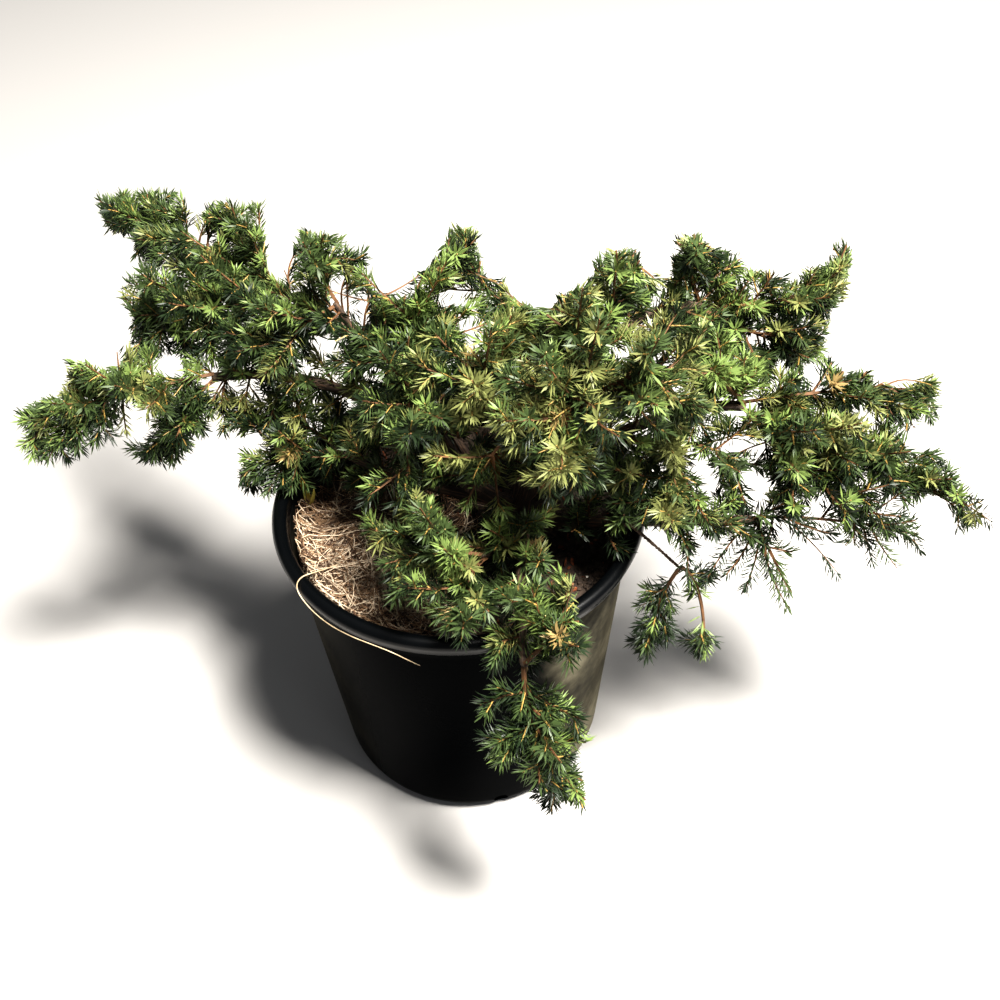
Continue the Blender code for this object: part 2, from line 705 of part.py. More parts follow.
def main():
    clear_scene()
    plant = new_collection("potted_juniper")
    cutters = new_collection("cutters", hidden=True)
    solids = [pot(plant, cutters), soil(plant)]
    limbs = {"trunk": Growth(TRUNK, None)}
    for limb in LIMBS:
        limbs[limb.name] = Growth(limb, limbs[limb.parent])
    space = Space()
    for number, growth in enumerate(limbs.values()):
        solids.append(limb_object(growth, plant))
        shares = [i / 40 for i in range(1, 40)]
        points = [growth.route(share) for share in shares]
        space.take(points, [growth.radius(share) for share in shares], -1 - number)
    grown = grow_masses(limbs, space)
    part_touching_needles(grown, solids)
    for name, shoots in grown.items():
        mass_object(name + "_foliage", shoots, plant)


main()
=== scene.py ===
"""A spreading juniper in a black nursery pot, dressed for a render.

The limbs and the masses of foliage grow by the same rule and from the same tables as the solids.
Here each mass goes on into finer sprays, and every shoot bears whorls of awl-shaped needles.
Metres, +Z up, and the origin is the middle of the pot's flat underside.
"""

import json
import math
import random
from collections import namedtuple
from functools import lru_cache

import bpy
import numpy as np
from bpy.props import FloatProperty, FloatVectorProperty, IntProperty, PointerProperty
from mathutils import Matrix, Quaternion, Vector, noise
from mathutils.kdtree import KDTree

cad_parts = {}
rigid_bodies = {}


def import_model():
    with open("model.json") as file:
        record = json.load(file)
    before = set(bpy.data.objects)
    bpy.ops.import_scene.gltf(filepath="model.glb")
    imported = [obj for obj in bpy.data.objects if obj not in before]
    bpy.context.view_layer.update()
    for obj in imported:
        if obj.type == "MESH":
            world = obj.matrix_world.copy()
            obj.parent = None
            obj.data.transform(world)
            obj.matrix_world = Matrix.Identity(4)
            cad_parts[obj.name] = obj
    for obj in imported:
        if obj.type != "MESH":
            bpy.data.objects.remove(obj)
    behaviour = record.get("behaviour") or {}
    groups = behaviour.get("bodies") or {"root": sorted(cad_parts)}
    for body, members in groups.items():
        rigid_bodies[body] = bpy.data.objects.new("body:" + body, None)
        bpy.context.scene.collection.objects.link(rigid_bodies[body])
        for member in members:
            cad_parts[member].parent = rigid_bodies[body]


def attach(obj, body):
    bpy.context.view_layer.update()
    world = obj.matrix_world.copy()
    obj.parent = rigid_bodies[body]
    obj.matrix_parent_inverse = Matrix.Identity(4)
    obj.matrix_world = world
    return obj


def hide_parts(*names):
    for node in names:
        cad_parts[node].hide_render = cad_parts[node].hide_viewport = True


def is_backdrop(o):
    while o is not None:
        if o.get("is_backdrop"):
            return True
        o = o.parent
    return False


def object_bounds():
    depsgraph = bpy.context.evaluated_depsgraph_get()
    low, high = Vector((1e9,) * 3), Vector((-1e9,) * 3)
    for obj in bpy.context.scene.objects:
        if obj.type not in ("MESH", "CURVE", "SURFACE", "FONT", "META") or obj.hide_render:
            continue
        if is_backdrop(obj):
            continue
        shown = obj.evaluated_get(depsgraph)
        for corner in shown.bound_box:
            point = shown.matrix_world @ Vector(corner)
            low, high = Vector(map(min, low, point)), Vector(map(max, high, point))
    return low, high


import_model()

bl_info = {
    "name": "Potted Spreading Juniper",
    "version": (1, 0, 0),
    "blender": (4, 5, 0),
    "location": "View3D > Sidebar > Juniper",
    "description": "Models a spreading juniper that stands in a black nursery pot",
    "category": "Add Mesh",
}

CAD_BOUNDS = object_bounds()
MM = 0.001
SEED = 11
SEAT_GAP = 0.3 * MM
UP = Vector((0, 0, 1))
GOLDEN_TURN = math.radians(137.5)

# Pot and compost, as in the solids.
POT_HEIGHT = 212 * MM
RIM_RADIUS = 112.5 * MM
RIM_BAND = 11 * MM
RIM_LIP = 7.5 * MM
BASE_RADIUS = 91 * MM
POT_WALL = 1.8 * MM
FOOT_ROUNDING = 12 * MM
DRAIN_HOLES = 4
DRAIN_HOLE_RADIUS = 5 * MM
DRAIN_HOLE_HEIGHT = 9 * MM
SOIL_LEVEL = 180 * MM
MAT_CENTRE = (-58 * MM, -24 * MM)
MAT_REACH = 62 * MM
MAT_HEIGHT = 17 * MM
DRIFT_FROM, DRIFT_HEIGHT = 72 * MM, 19 * MM

# The rule by which shoots take their places, as in the solids.
WHORL_GAP = 11 * MM
CROWD_REACH = 7 * MM
OWN_ROOM = 11 * MM
STEM_RADIUS = 1.4 * MM
STEM_TIP_RADIUS = 0.8 * MM
TWIG_RADIUS = 0.85 * MM
TWIG_TIP_RADIUS = 0.45 * MM
BARE_BASE = 7 * MM
WHORL_TURN = math.radians(40)
TWIG_LEAN = math.radians(52)
TWIG_LIFT = 0.18
TWIG_LENGTHS = (0.85, 1.05)
TWIGS_FROM, TWIGS_TO = 0.15, 0.9
LENGTH_AT_FOOT, LENGTH_LOST_TO_TIP = 1.15, 0.5

# A limb starts on its parent, at that share of the parent's length. The other numbers are its
# heading from +X in degrees, then in millimetres its reach, its rise, its bow upwards and to the
# left, and its radius at the base and at the tip.
Limb = namedtuple("Limb", "name parent at heading reach rise arch sweep base_radius tip_radius")
TRUNK_FOOT = Vector((52 * MM, 1 * MM, SOIL_LEVEL))
TRUNK = Limb("trunk", None, 0, -162, 47, 55, 0, 0, 6.5, 5.2)
FLARE = ((0, 10.5), (2.5, 8.2), (6, 6.8))
FIRST_TRUNK_SHARE = 0.3
LIMBS = (
    Limb("upper_left_bough", "trunk", 1.0, 135, 150, 60, 20, -4, 4.2, 2.8),
    Limb("left_bough", "trunk", 0.9, 156, 172, 33, 16, -16, 4.0, 2.8),
    Limb("low_left_bough", "trunk", 0.68, 159, 104, 11, 6, 12, 3.0, 2.2),
    Limb("centre_bough", "upper_left_bough", 0.12, 153, 11, 45, 0, 4, 3.0, 2.6),
    Limb("high_bough", "trunk", 0.35, -42, 48, 119, 16, -3, 4.5, 3.2),
    Limb("upper_right_bough", "high_bough", 0.4, 41, 128, 36, 20, 12, 3.6, 2.8),
    Limb("right_bough", "high_bough", 0.12, 7, 125, 50, 20, -2, 3.8, 3.0),
    Limb("low_right_bough", "trunk", 0.13, -19, 126, 38, 23, -24, 3.5, 2.4),
    Limb("front_bough", "trunk", 0.2, -95, 128, 26, 29, -4, 3.5, 2.5),
    Limb("left_upright_limb", "upper_left_bough", 0.62, -168, 9, 24, 0, 0, 2.2, 2.0),
    Limb("crest_limb", "high_bough", 0.62, 104, 89, 14, 22, -8, 2.2, 1.6),
    Limb("high_left_limb", "high_bough", 0.45, -150, 23, 16, 3, 12, 2.2, 2.0),
    Limb("inner_right_limb", "right_bough", 0.4, -8, 42, -2, 0, 0, 2.2, 2.0),
    Limb("hanging_limb", "low_right_bough", 0.45, -25, 33, -25, 0, 0, 2.0, 1.8),
    Limb("front_left_limb", "front_bough", 0.3, -125, 41, 15, 0, 0, 2.2, 2.0),
    Limb("back_left_bough", "trunk", 0.6, 113, 142, 11, 6, 6, 3.0, 2.2),
    Limb("back_bough", "trunk", 0.42, 84, 115, 18, 9, -4, 3.0, 2.2),
    Limb("back_right_bough", "high_bough", 0.28, 48, 131, 2, 6, -8, 3.0, 2.2),
)
LIMB_POINTS = 7
COLLAR_LENGTH = 0.6
COLLAR_CLEARANCE = 1.5
LEAST_SLANT = 0.45

# A mass grows from one stem on a limb's tip. Its first numbers are as a limb's. Then come how far
# its twigs may stand out from the stem, how many twigs it has, and how its greens are dealt.
Mass = namedtuple("Mass", "name limb heading reach rise arch sweep spread twigs greens")
MASSES = (
    Mass("upper_left_tip", "upper_left_bough", 140, 190, -10, 15, 6, 40, 12, "leafy"),
    Mass("upper_left_tuft", "upper_left_bough", 126, 70, 30, -2, 6, 32, 7, "leafy"),
    Mass("upper_left_fan", "upper_left_bough", 177, 109, -27, 9, 7, 40, 10, "leafy"),
    Mass("left_upright", "left_upright_limb", 115, 21, 30, 5, 5, 30, 6, "leafy"),
    Mass("left_inner", "left_upright_limb", 171, 49, -35, 3, 8, 38, 8, "leafy"),
    Mass("left_tip", "left_bough", -168, 114, -12, 12, 14, 34, 11, "sunny"),
    Mass("left_hanging", "left_bough", -150, 50, -40, 8, 1, 28, 6, "leafy"),
    Mass("left_under", "low_left_bough", 167, 62, 8, 8, -5, 28, 6, "leafy"),
    Mass("over_rim", "low_left_bough", -172, 61, -16, 8, 3, 28, 6, "leafy"),
    Mass("centre_top", "centre_bough", 80, 64, 35, 13, 12, 36, 9, "leafy"),
    Mass("centre_left", "centre_bough", 111, 70, 15, 6, 12, 36, 9, "leafy"),
    Mass("centre_low", "centre_bough", -100, 48, -25, 13, -4, 38, 9, "leafy"),
    Mass("crest", "crest_limb", 116, 63, 20, 8, 11, 28, 7, "sunny"),
    Mass("crown_top", "high_bough", 94, 55, 17, 14, 6, 38, 9, "sunny"),
    Mass("crown_arch", "high_bough", 67, 85, 12, 36, -1, 26, 9, "sunny"),
    Mass("crown_front", "high_bough", -112, 46, -18, 21, -2, 44, 11, "olive"),
    Mass("crown_right", "high_bough", 13, 42, -3, 19, -11, 38, 9, "olive"),
    Mass("crown_left", "high_left_limb", 127, 26, 30, 10, 6, 40, 9, "olive"),
    Mass("crown_low", "high_left_limb", -149, 18, -20, 5, -1, 40, 7, "sunny"),
    Mass("upper_right_tip", "upper_right_bough", 24, 109, 2, 6, -25, 32, 10, "sunny"),
    Mass("upper_right_crest", "upper_right_bough", 102, 11, 37, 9, 8, 34, 7, "leafy"),
    Mass("upper_right_under", "upper_right_bough", 2, 73, -36, 5, -13, 32, 9, "leafy"),
    Mass("right_tuft", "right_bough", -134, 42, 50, 0, -1, 28, 7, "bright"),
    Mass("right_tip", "right_bough", 8, 118, -10, 12, -9, 32, 10, "sunny"),
    Mass("right_fan", "right_bough", -17, 108, -38, 7, -5, 42, 11, "sunny"),
    Mass("right_low", "right_bough", -37, 78, -40, 3, -5, 38, 10, "leafy"),
    Mass("inner_right", "inner_right_limb", -28, 42, -10, 5, 0, 38, 7, "leafy"),
    Mass("inner_front", "inner_right_limb", -120, 40, -12, 6, 0, 42, 9, "olive"),
    Mass("low_right_tip", "low_right_bough", 0, 104, -23, 6, -1, 30, 8, "shaded"),
    Mass("low_right_mid", "low_right_bough", -45, 35, -43, 1, -1, 28, 5, "shaded"),
    Mass("hanging_mid", "hanging_limb", -54, 26, -55, 8, 5, 20, 5, "shaded"),
    Mass("hanging_inner", "hanging_limb", -127, 29, -50, 5, -3, 20, 5, "shaded"),
    Mass("front_tip", "front_bough", -44, 49, -88, 11, -14, 32, 10, "leafy"),
    Mass("front_right", "front_bough", 47, 31, 32, 11, -10, 28, 7, "leafy"),
    Mass("front_left", "front_left_limb", 161, 40, 2, 6, 7, 36, 8, "sunny"),
    Mass("front_low", "front_left_limb", -113, 35, -8, 6, -2, 32, 6, "leafy"),
    Mass("back_left", "back_left_bough", 117, 98, -10, 5, -2, 45, 10, "shaded"),
    Mass("back", "back_bough", 82, 70, -10, 0, 0, 45, 9, "leafy"),
    Mass("back_right", "back_right_bough", 55, 60, -10, 5, -1, 45, 10, "leafy"),
)

# How many of a mass's sprays take each colour, out of a hundred. The shaded row gives masses in shade
# mostly deep greens, as painted shade, and the sunny row gives masses in the sun more fresh and olive ones,
# as painted light.
TINTS = ("deep", "leaf", "fresh", "olive", "straw")
GREENS = {
    "leafy": (34, 44, 12, 9, 1),
    "sunny": (22, 42, 13, 22, 1),
    "olive": (16, 34, 8, 39, 3),
    "bright": (6, 22, 68, 4, 0),
    "shaded": (62, 28, 4, 5, 1),
}

# How much each colour gains where a spray faces up, and loses where it faces down: lighter greens facing up
# as painted light, darker ones facing down as painted shade.
PAINTED_LIGHT_BY_FACING = (-2.4, 0, 1.4, 0.7, 0)
# Dead needles stand on side sprays alone.
LIVING_TINTS = TINTS[:4]

# Finer growth, which the solids leave out: side sprays on every shoot, spurs on the limbs' outer
# parts, and needles in whorls of three.
TWIG_BARE = 3 * MM
SPRAY_BARE = 1.5 * MM
SPRAY_GAP = 4.9 * MM
SPRAY_LENGTHS = (14 * MM, 8 * MM)
SPRAY_LEAN = math.radians(48)
SPRAY_LIFT = -0.08
SPRAY_POINTS = 5
SPRAY_RADIUS = 0.5 * MM
SPRAY_TIP_RADIUS = 0.3 * MM
SEEN_POINTS = 9
SEEN_BOW = 0.07
WISP_VIGOUR = 0.85
SEEN_CLEARANCE = 1.5 * MM
LEAST_DEPTH, DEPTH_STEP = 420 * MM, 2 * MM
FILLER_GAP = 8.5 * MM
FILLER_SHARE = 0.72
FILLER_LIFT = -0.28
SPUR_GAP = 6.5 * MM
SPURS_FROM = 0.22
SPUR_TRIES = 4
SPUR_LENGTHS = (16 * MM, 28 * MM)
SPUR_LEAN = math.radians(58)
SPUR_LIFT = 0.1
BARE_LIMBS = ("trunk", "hanging_limb")
SPARSE_MASSES = ("low_right_tip", "low_right_mid")
LIMB_STEPS = 24
FORK_SWELL, FORK_REACH = 0.4, 9 * MM
HANGING_LIMB_SHARE = 0.5
STEM_STEPS, TWIG_STEPS = 24, 10
NEEDLES_A_WHORL = 3
BUD_NEEDLES, BUD_LENGTH = 5, 0.6 * MM
NEEDLE_LEAN = math.radians(60)
NEEDLE_CLEARANCE = 0.6 * MM
# The needles on a shoot's last stretch lie closer to it and are shorter.
YOUNG_END = 9 * MM
YOUNG_CLOSER, YOUNG_SHORTER = math.radians(24), 0.25

# The corners round a needle's middle, and how far its tip curves up, in its widths and length.
NEEDLE_WAIST = ((-0.5, 0.05, 0.5), (0.5, 0.05, 0.5), (0, -0.36, 0.44))
NEEDLE_CURVE = 0.12

# A strand of dry grass: its points and the steps between them in millimetres, how it bends,
# rises and waves, and how much thinner it is at its ends.
STRAND_POINTS = 9
STRAND_STEPS = (3.5, 8.0)
STRAND_BEND = 0.3
STRAND_LIFT = 1.25
STRAND_COVER = 1.2 * MM
STRAND_WAVE = 1.3 * MM
STRAND_ENDS = 0.45
BLEACHED_PATCHES_A_METRE = 34
PEBBLE_RADIUS = 3.4 * MM
TRIANGLE_LIMIT = 190000

# Sky that the photograph shows past the crown and through it: bars with round ends, in its
# pixels, each as two ends and a radius. Shoots stop short of them, and a needle whose tip would
# stand in one is left out.
SKY = (
    (110, 168, 185, 166, 20), (70, 190, 85, 240, 20), (105, 262, 100, 285, 17),
    (110, 320, 105, 345, 20), (30, 330, 95, 335, 25), (15, 385, 45, 375, 18),
    (197, 190, 197, 204, 8), (196, 228, 206, 236, 9), (195, 183, 260, 183, 16),
    (280, 215, 281, 266, 12), (290, 200, 360, 212, 23), (385, 240, 387, 282, 13),
    (410, 230, 415, 255, 17), (432, 225, 430, 240, 14), (337, 282, 339, 314, 10),
    (362, 295, 362, 318, 7), (316, 342, 332, 348, 4), (293, 348, 296, 348, 5),
    (163, 366, 172, 366, 6), (213, 388, 220, 396, 8), (244, 390, 250, 394, 7),
    (371, 370, 374, 373, 4), (138, 414, 140, 428, 5), (447, 298, 462, 292, 7),
    (468, 322, 478, 330, 7), (505, 245, 570, 245, 25), (525, 270, 560, 272, 20),
    (543, 290, 543, 297, 13), (455, 205, 485, 210, 17), (500, 235, 500, 236, 18),
    (575, 225, 640, 222, 24), (657, 240, 656, 265, 13), (670, 215, 730, 212, 17),
    (720, 225, 760, 232, 20), (760, 248, 810, 245, 20), (785, 255, 785, 262, 12),
    (757, 284, 758, 292, 6), (880, 250, 875, 340, 26), (845, 320, 850, 355, 13),
    (850, 345, 930, 350, 20), (905, 370, 905, 376, 15), (815, 372, 822, 388, 7),
    (965, 380, 965, 440, 20), (921, 440, 923, 440, 8), (616, 280, 617, 282, 6),
    (697, 289, 698, 291, 5), (755, 342, 768, 340, 8), (622, 348, 623, 349, 6),
    (660, 357, 674, 355, 7), (680, 387, 682, 391, 6), (728, 400, 732, 405, 8),
    (645, 413, 650, 413, 6), (726, 442, 762, 453, 9), (712, 473, 714, 476, 4),
    (748, 478, 750, 480, 7), (793, 430, 794, 431, 6), (655, 543, 652, 555, 12),
    (822, 507, 830, 520, 8), (888, 508, 896, 505, 7), (217, 455, 222, 487, 14),
    (250, 440, 253, 440, 7), (148, 480, 154, 480, 13), (525, 826, 560, 832, 14),
    (602, 755, 606, 805, 17), (605, 830, 575, 842, 16), (808, 562, 812, 630, 15),
    (775, 555, 785, 562, 7), (700, 615, 790, 640, 16), (850, 560, 858, 600, 12),
    (935, 512, 950, 575, 14), (884, 585, 930, 580, 13), (100, 245, 124, 247, 10),
    (402, 262, 402, 284, 12), (518, 280, 525, 290, 12), (570, 262, 580, 268, 13),
    (492, 262, 497, 270, 9), (850, 222, 860, 236, 13), (888, 368, 920, 366, 13),
    (915, 438, 930, 440, 9), (812, 550, 835, 552, 7),
)

# Dark hollows that it shows in the crown, in the same way.
HOLLOWS = (
    (454, 443, 458, 444, 9), (488, 462, 492, 468, 11), (445, 495, 530, 497, 8),
    (590, 560, 598, 612, 17), (565, 545, 572, 560, 13), (385, 450, 387, 500, 7),
    (600, 430, 640, 424, 5),
)

# Shoots that the photograph shows standing out, which the rule doesn't give. Each row has the mass
# or limb that they leave, what they bear, and then each shoot's foot and tip in the photograph's
# pixels. A brush has side sprays, a tuft has them on its outer half alone, and a wisp has only
# short needles.
SEEN_SHOOTS = (
    ("upper_left_tip", "brush", (150, 225, 172, 194), (185, 240, 183, 203)),
    ("upper_left_tip", "wisp", (130, 215, 101, 210), (140, 215, 115, 230)),
    ("upper_left_tip", "brush", (175, 240, 160, 205)),
    ("upper_left_bough", "tuft", (352, 330, 344, 250), (350, 325, 352, 268)),
    ("left_upright", "brush", (320, 262, 362, 262), (322, 275, 300, 245)),
    ("upper_left_bough", "tuft", (322, 318, 326, 262)),
    ("upper_left_bough", "brush", (378, 335, 379, 292)),
    ("left_tip", "brush", (155, 385, 146, 352), (130, 380, 128, 352)),
    ("left_tip", "wisp", (170, 385, 168, 378)),
    (
        "left_tip",
        "brush",
        (100, 395, 82, 372), (60, 425, 32, 456), (70, 420, 48, 460), (95, 410, 75, 448),
        (110, 405, 97, 440),
    ),
    ("left_tip", "wisp", (126, 398, 126, 432)),
    ("left_hanging", "brush", (170, 395, 152, 458), (190, 395, 178, 450)),
    (
        "left_bough",
        "brush",
        (205, 390, 196, 430), (232, 388, 226, 428), (255, 388, 245, 432), (285, 390, 268, 428),
    ),
    ("left_bough", "wisp", (225, 380, 210, 415)),
    (
        "upper_left_fan",
        "brush",
        (170, 330, 136, 318), (170, 335, 158, 352), (185, 330, 185, 362), (215, 330, 210, 362),
    ),
    ("over_rim", "brush", (280, 445, 240, 478), (290, 450, 268, 492), (300, 450, 290, 490)),
    ("centre_top", "brush", (470, 290, 450, 238), (465, 300, 436, 268), (485, 320, 500, 285)),
    ("centre_left", "brush", (420, 330, 405, 295), (430, 340, 445, 308)),
    ("centre_top", "brush", (500, 330, 528, 312), (480, 340, 455, 335)),
    ("crown_left", "brush", (560, 330, 562, 308)),
    ("crown_arch", "brush", (640, 300, 653, 290)),
    ("upper_right_crest", "brush", (735, 280, 742, 258), (720, 285, 724, 254), (705, 285, 693, 242)),
    ("upper_right_tip", "brush", (775, 300, 766, 270), (800, 300, 840, 302), (795, 305, 825, 322)),
    ("upper_right_under", "brush", (790, 345, 818, 360), (790, 340, 822, 335)),
    (
        "right_tip",
        "brush",
        (850, 400, 866, 372), (870, 400, 884, 382), (880, 405, 936, 388), (885, 405, 934, 410),
        (880, 410, 914, 428),
    ),
    ("right_fan", "brush", (890, 455, 936, 455), (900, 470, 940, 480)),
    ("right_fan", "tuft", (925, 475, 992, 522)),
    ("right_low", "brush", (735, 480, 733, 456), (765, 480, 771, 462)),
    (
        "low_right_tip",
        "wisp",
        (690, 530, 705, 582), (710, 535, 745, 590), (715, 535, 770, 575), (720, 538, 788, 608),
        (720, 535, 726, 575), (780, 538, 840, 576), (860, 530, 872, 562), (870, 530, 897, 568),
        (870, 528, 920, 550),
    ),
    ("low_right_tip", "brush", (770, 530, 765, 545)),
    ("low_right_bough", "wisp", (690, 530, 688, 580)),
    (
        "front_tip",
        "brush",
        (520, 690, 480, 705), (525, 730, 490, 748), (520, 670, 545, 640), (530, 720, 560, 720),
    ),
    ("front_bough", "brush", (520, 640, 490, 660), (520, 620, 545, 600)),
    ("upper_left_bough", "brush", (292, 298, 297, 252), (288, 295, 284, 270)),
    ("centre_top", "brush", (470, 345, 450, 305), (490, 335, 478, 305)),
    ("centre_left", "brush", (455, 350, 463, 316)),
    ("low_left_bough", "brush", (330, 430, 312, 405), (340, 425, 336, 398)),
    ("upper_left_fan", "brush", (230, 335, 235, 366)),
    ("left_bough", "brush", (200, 378, 190, 360), (220, 378, 222, 362), (250, 380, 256, 360)),
    ("left_tip", "brush", (120, 372, 117, 352)),
    ("upper_left_fan", "wisp", (150, 300, 123, 297)),
    ("upper_left_fan", "brush", (150, 290, 134, 280)),
    ("right_low", "brush", (700, 480, 699, 445), (770, 500, 778, 472)),
    ("upper_right_under", "brush", (760, 395, 758, 374)),
    ("right_fan", "tuft", (940, 480, 975, 500)),
    ("right_fan", "brush", (955, 495, 970, 520)),
)

# Where dust lies on the pot's wall, which on its flanks also stands for painted sunlight on the right
# and painted bounce light on the left, and where its rim is rubbed: places across and up it, in order
# of no effect to full. Then the real sizes of its patterns and of the wax on a needle.
RIGHT_DUST_AND_SUNLIGHT = (72 * MM, 128 * MM)
LEFT_DUST_AND_BOUNCE = (-60 * MM, -100 * MM)
DUST_AND_SUNLIGHT_DRIFT = 70 * MM
BARE_RIM = (203 * MM, 190 * MM)
RUBBED_RIM = (200 * MM, 206 * MM)
DUST_CLOUD = 62.5 * MM
GRIT_GAP = 18.18 * MM
SKIN_GRAIN = 2.38 * MM
WAX_GRAIN = 4.17 * MM

# The camera, worked out from the rim, the foot and the upright of the pot in the photograph.
CAMERA_PLACE = (0.02476818, -0.45958898, 0.67166205)
CAMERA_RIGHT = (0.99945022, -0.02356668, -0.02332118)
CAMERA_UP = (0.03315518, 0.71040869, 0.70300799)
FOCAL_PIXELS = 1079.6
FRAME_PIXELS = 1000
SENSOR_WIDTH = 36


def linear(code):
    """An sRGB hex colour as linear red, green and blue, with a full alpha."""
    parts = [int(code[i : i + 2], 16) / 255 for i in (1, 3, 5)]
    return tuple(c / 12.92 if c <= 0.04045 else ((c + 0.055) / 1.055) ** 2.4 for c in parts) + (1,)


def size(name, description, default):
    return FloatProperty(name=name, description=description, default=default, min=0, unit="LENGTH")


def tint(name, description, code):
    return FloatVectorProperty(
        name=name, description=description, default=linear(code), size=4, subtype="COLOR", min=0, max=1
    )


class PotSettings(bpy.types.PropertyGroup):
    """The nursery pot."""

    height: size("Height", "From the ground to the top of the rim", POT_HEIGHT)
    rim_radius: size("Rim radius", "Half the width over the rolled rim", RIM_RADIUS)
    wall: size("Wall", "Thickness of the moulded wall", POT_WALL)
    wobble: size("Wobble", "How far the thin wall wanders from round", 0.5 * MM)
    plastic: tint("Plastic", "Black of the moulded plastic", "#030405")
    # The dust colour, laid on the flanks, also stands for painted sunlight on the right one and painted
    # bounce light on the left.
    dust: tint("Dust", "Dry splashes and dust on the wall", "#6E6959")


class CompostSettings(bpy.types.PropertyGroup):
    """The compost and its crumbs."""

    relief: size("Relief", "How far the surface rises and falls", 3.5 * MM)
    crumbs: IntProperty(name="Crumbs", description="Loose crumbs on the surface", default=2600, min=0)
    dark: tint("Damp", "Damp compost", "#1F1813")
    light: tint("Dry", "Dry crumbs of compost", "#43362B")
    chip: tint("Chips", "Rusty flakes of bark", "#8A4A26")


class GrassSettings(bpy.types.PropertyGroup):
    """The mat of dry grass."""

    strands: IntProperty(name="Strands", description="Dry strands in the mat", default=1700, min=1)
    thickness: size("Thickness", "Half the width of a strand", 0.36 * MM)
    pale: tint("Pale strands", "Bleached grass", "#D8C3A8")
    tan: tint("Tan strands", "Dry grass", "#94775A")
    brown: tint("Brown strands", "Old grass low in the mat", "#513A29")


class BarkSettings(bpy.types.PropertyGroup):
    """The trunk, the boughs and the twigs."""

    voxel: size("Fineness", "Size of the mesh's faces", 0.75 * MM)
    relief: size("Relief", "Depth of the peeling strips", 0.55 * MM)
    dark: tint("Old bark", "Weathered bark", "#2E2824")
    light: tint("Fresh bark", "Bark that has just peeled", "#7E6048")
    twig: tint("Twig", "Last year's wood", "#6B4A2C")
    shoot: tint("Shoot", "This year's wood", "#A98A4C")


class NeedleSettings(bpy.types.PropertyGroup):
    """The needles."""

    length: size("Length", "Length of a full needle", 10.2 * MM)
    width: size("Width", "Width of a needle at its widest", 1.32 * MM)
    gap: size("Whorl gap", "Distance from one whorl to the next", 1.15 * MM)
    # The deep green, dealt to sprays that face down and to masses in shade, also serves as painted shade.
    deep: tint("Deep", "Old needles inside the crown", "#1A2614")
    leaf: tint("Leaf", "Ordinary needles", "#3A4828")
    # The fresh and olive greens, dealt more to sprays that face up and to masses in the sun, also serve as
    # painted light.
    fresh: tint("Fresh", "This year's needles", "#63743F")
    olive: tint("Olive", "Needles that the sun has yellowed", "#6E7244")
    straw: tint("Straw", "Dead needles", "#85724A")


class StageSettings(bpy.types.PropertyGroup):
    """The floor and the light."""

    floor: tint("Floor", "Plain floor", "#A5A3A1")
    key: FloatProperty(name="Key light", description="Power of the key light", default=290, unit="POWER")
    fill: FloatProperty(name="Fill light", description="Power of the soft fill", default=3.5, unit="POWER")
    sky: FloatProperty(name="Sky", description="Strength of the light from all round", default=0.2, min=0)


def add(tree, kind, inputs=None, ramp=(), **settings):
    """Adds a node, with its settings, its inputs' values or links, and the stops of its ramp."""
    made = tree.nodes.new("ShaderNode" + kind)
    for name, value in settings.items():
        setattr(made, name, value)
    for name, value in (inputs or {}).items():
        if isinstance(value, bpy.types.NodeSocket):
            tree.links.new(value, made.inputs[name])
        else:
            made.inputs[name].default_value = value
    for i, (place, colour) in enumerate(ramp):
        stops = made.color_ramp.elements
        stop = stops[i] if i < len(stops) else stops.new(place)
        stop.position, stop.color = place, colour
    return made


def new_material(name, **inputs):
    """A material with those values on its shader, and its node tree and shader."""
    material = bpy.data.materials.new(name)
    material.use_nodes = True
    shader = material.node_tree.nodes["Principled BSDF"]
    for socket, value in inputs.items():
        shader.inputs[socket.replace("_", " ").title().replace("Ior", "IOR")].default_value = value
    return material, material.node_tree, shader


def grey(value):
    return (value, value, value, 1)


def dimmed(colour, share):
    return tuple(share * part for part in colour[:3]) + (1,)


def surface(tree, shader, pattern, roughness, relief, strength, depth, full=1.0):
    """Sets the roughness between two values by one pattern, and raises bumps by another."""
    low, high = roughness
    dull = add(tree, "MapRange", {"Value": pattern, "From Max": full, "To Min": low, "To Max": high})
    tree.links.new(dull.outputs["Result"], shader.inputs["Roughness"])
    bump = add(tree, "Bump", {"Height": relief, "Strength": strength, "Distance": depth})
    tree.links.new(bump.outputs["Normal"], shader.inputs["Normal"])


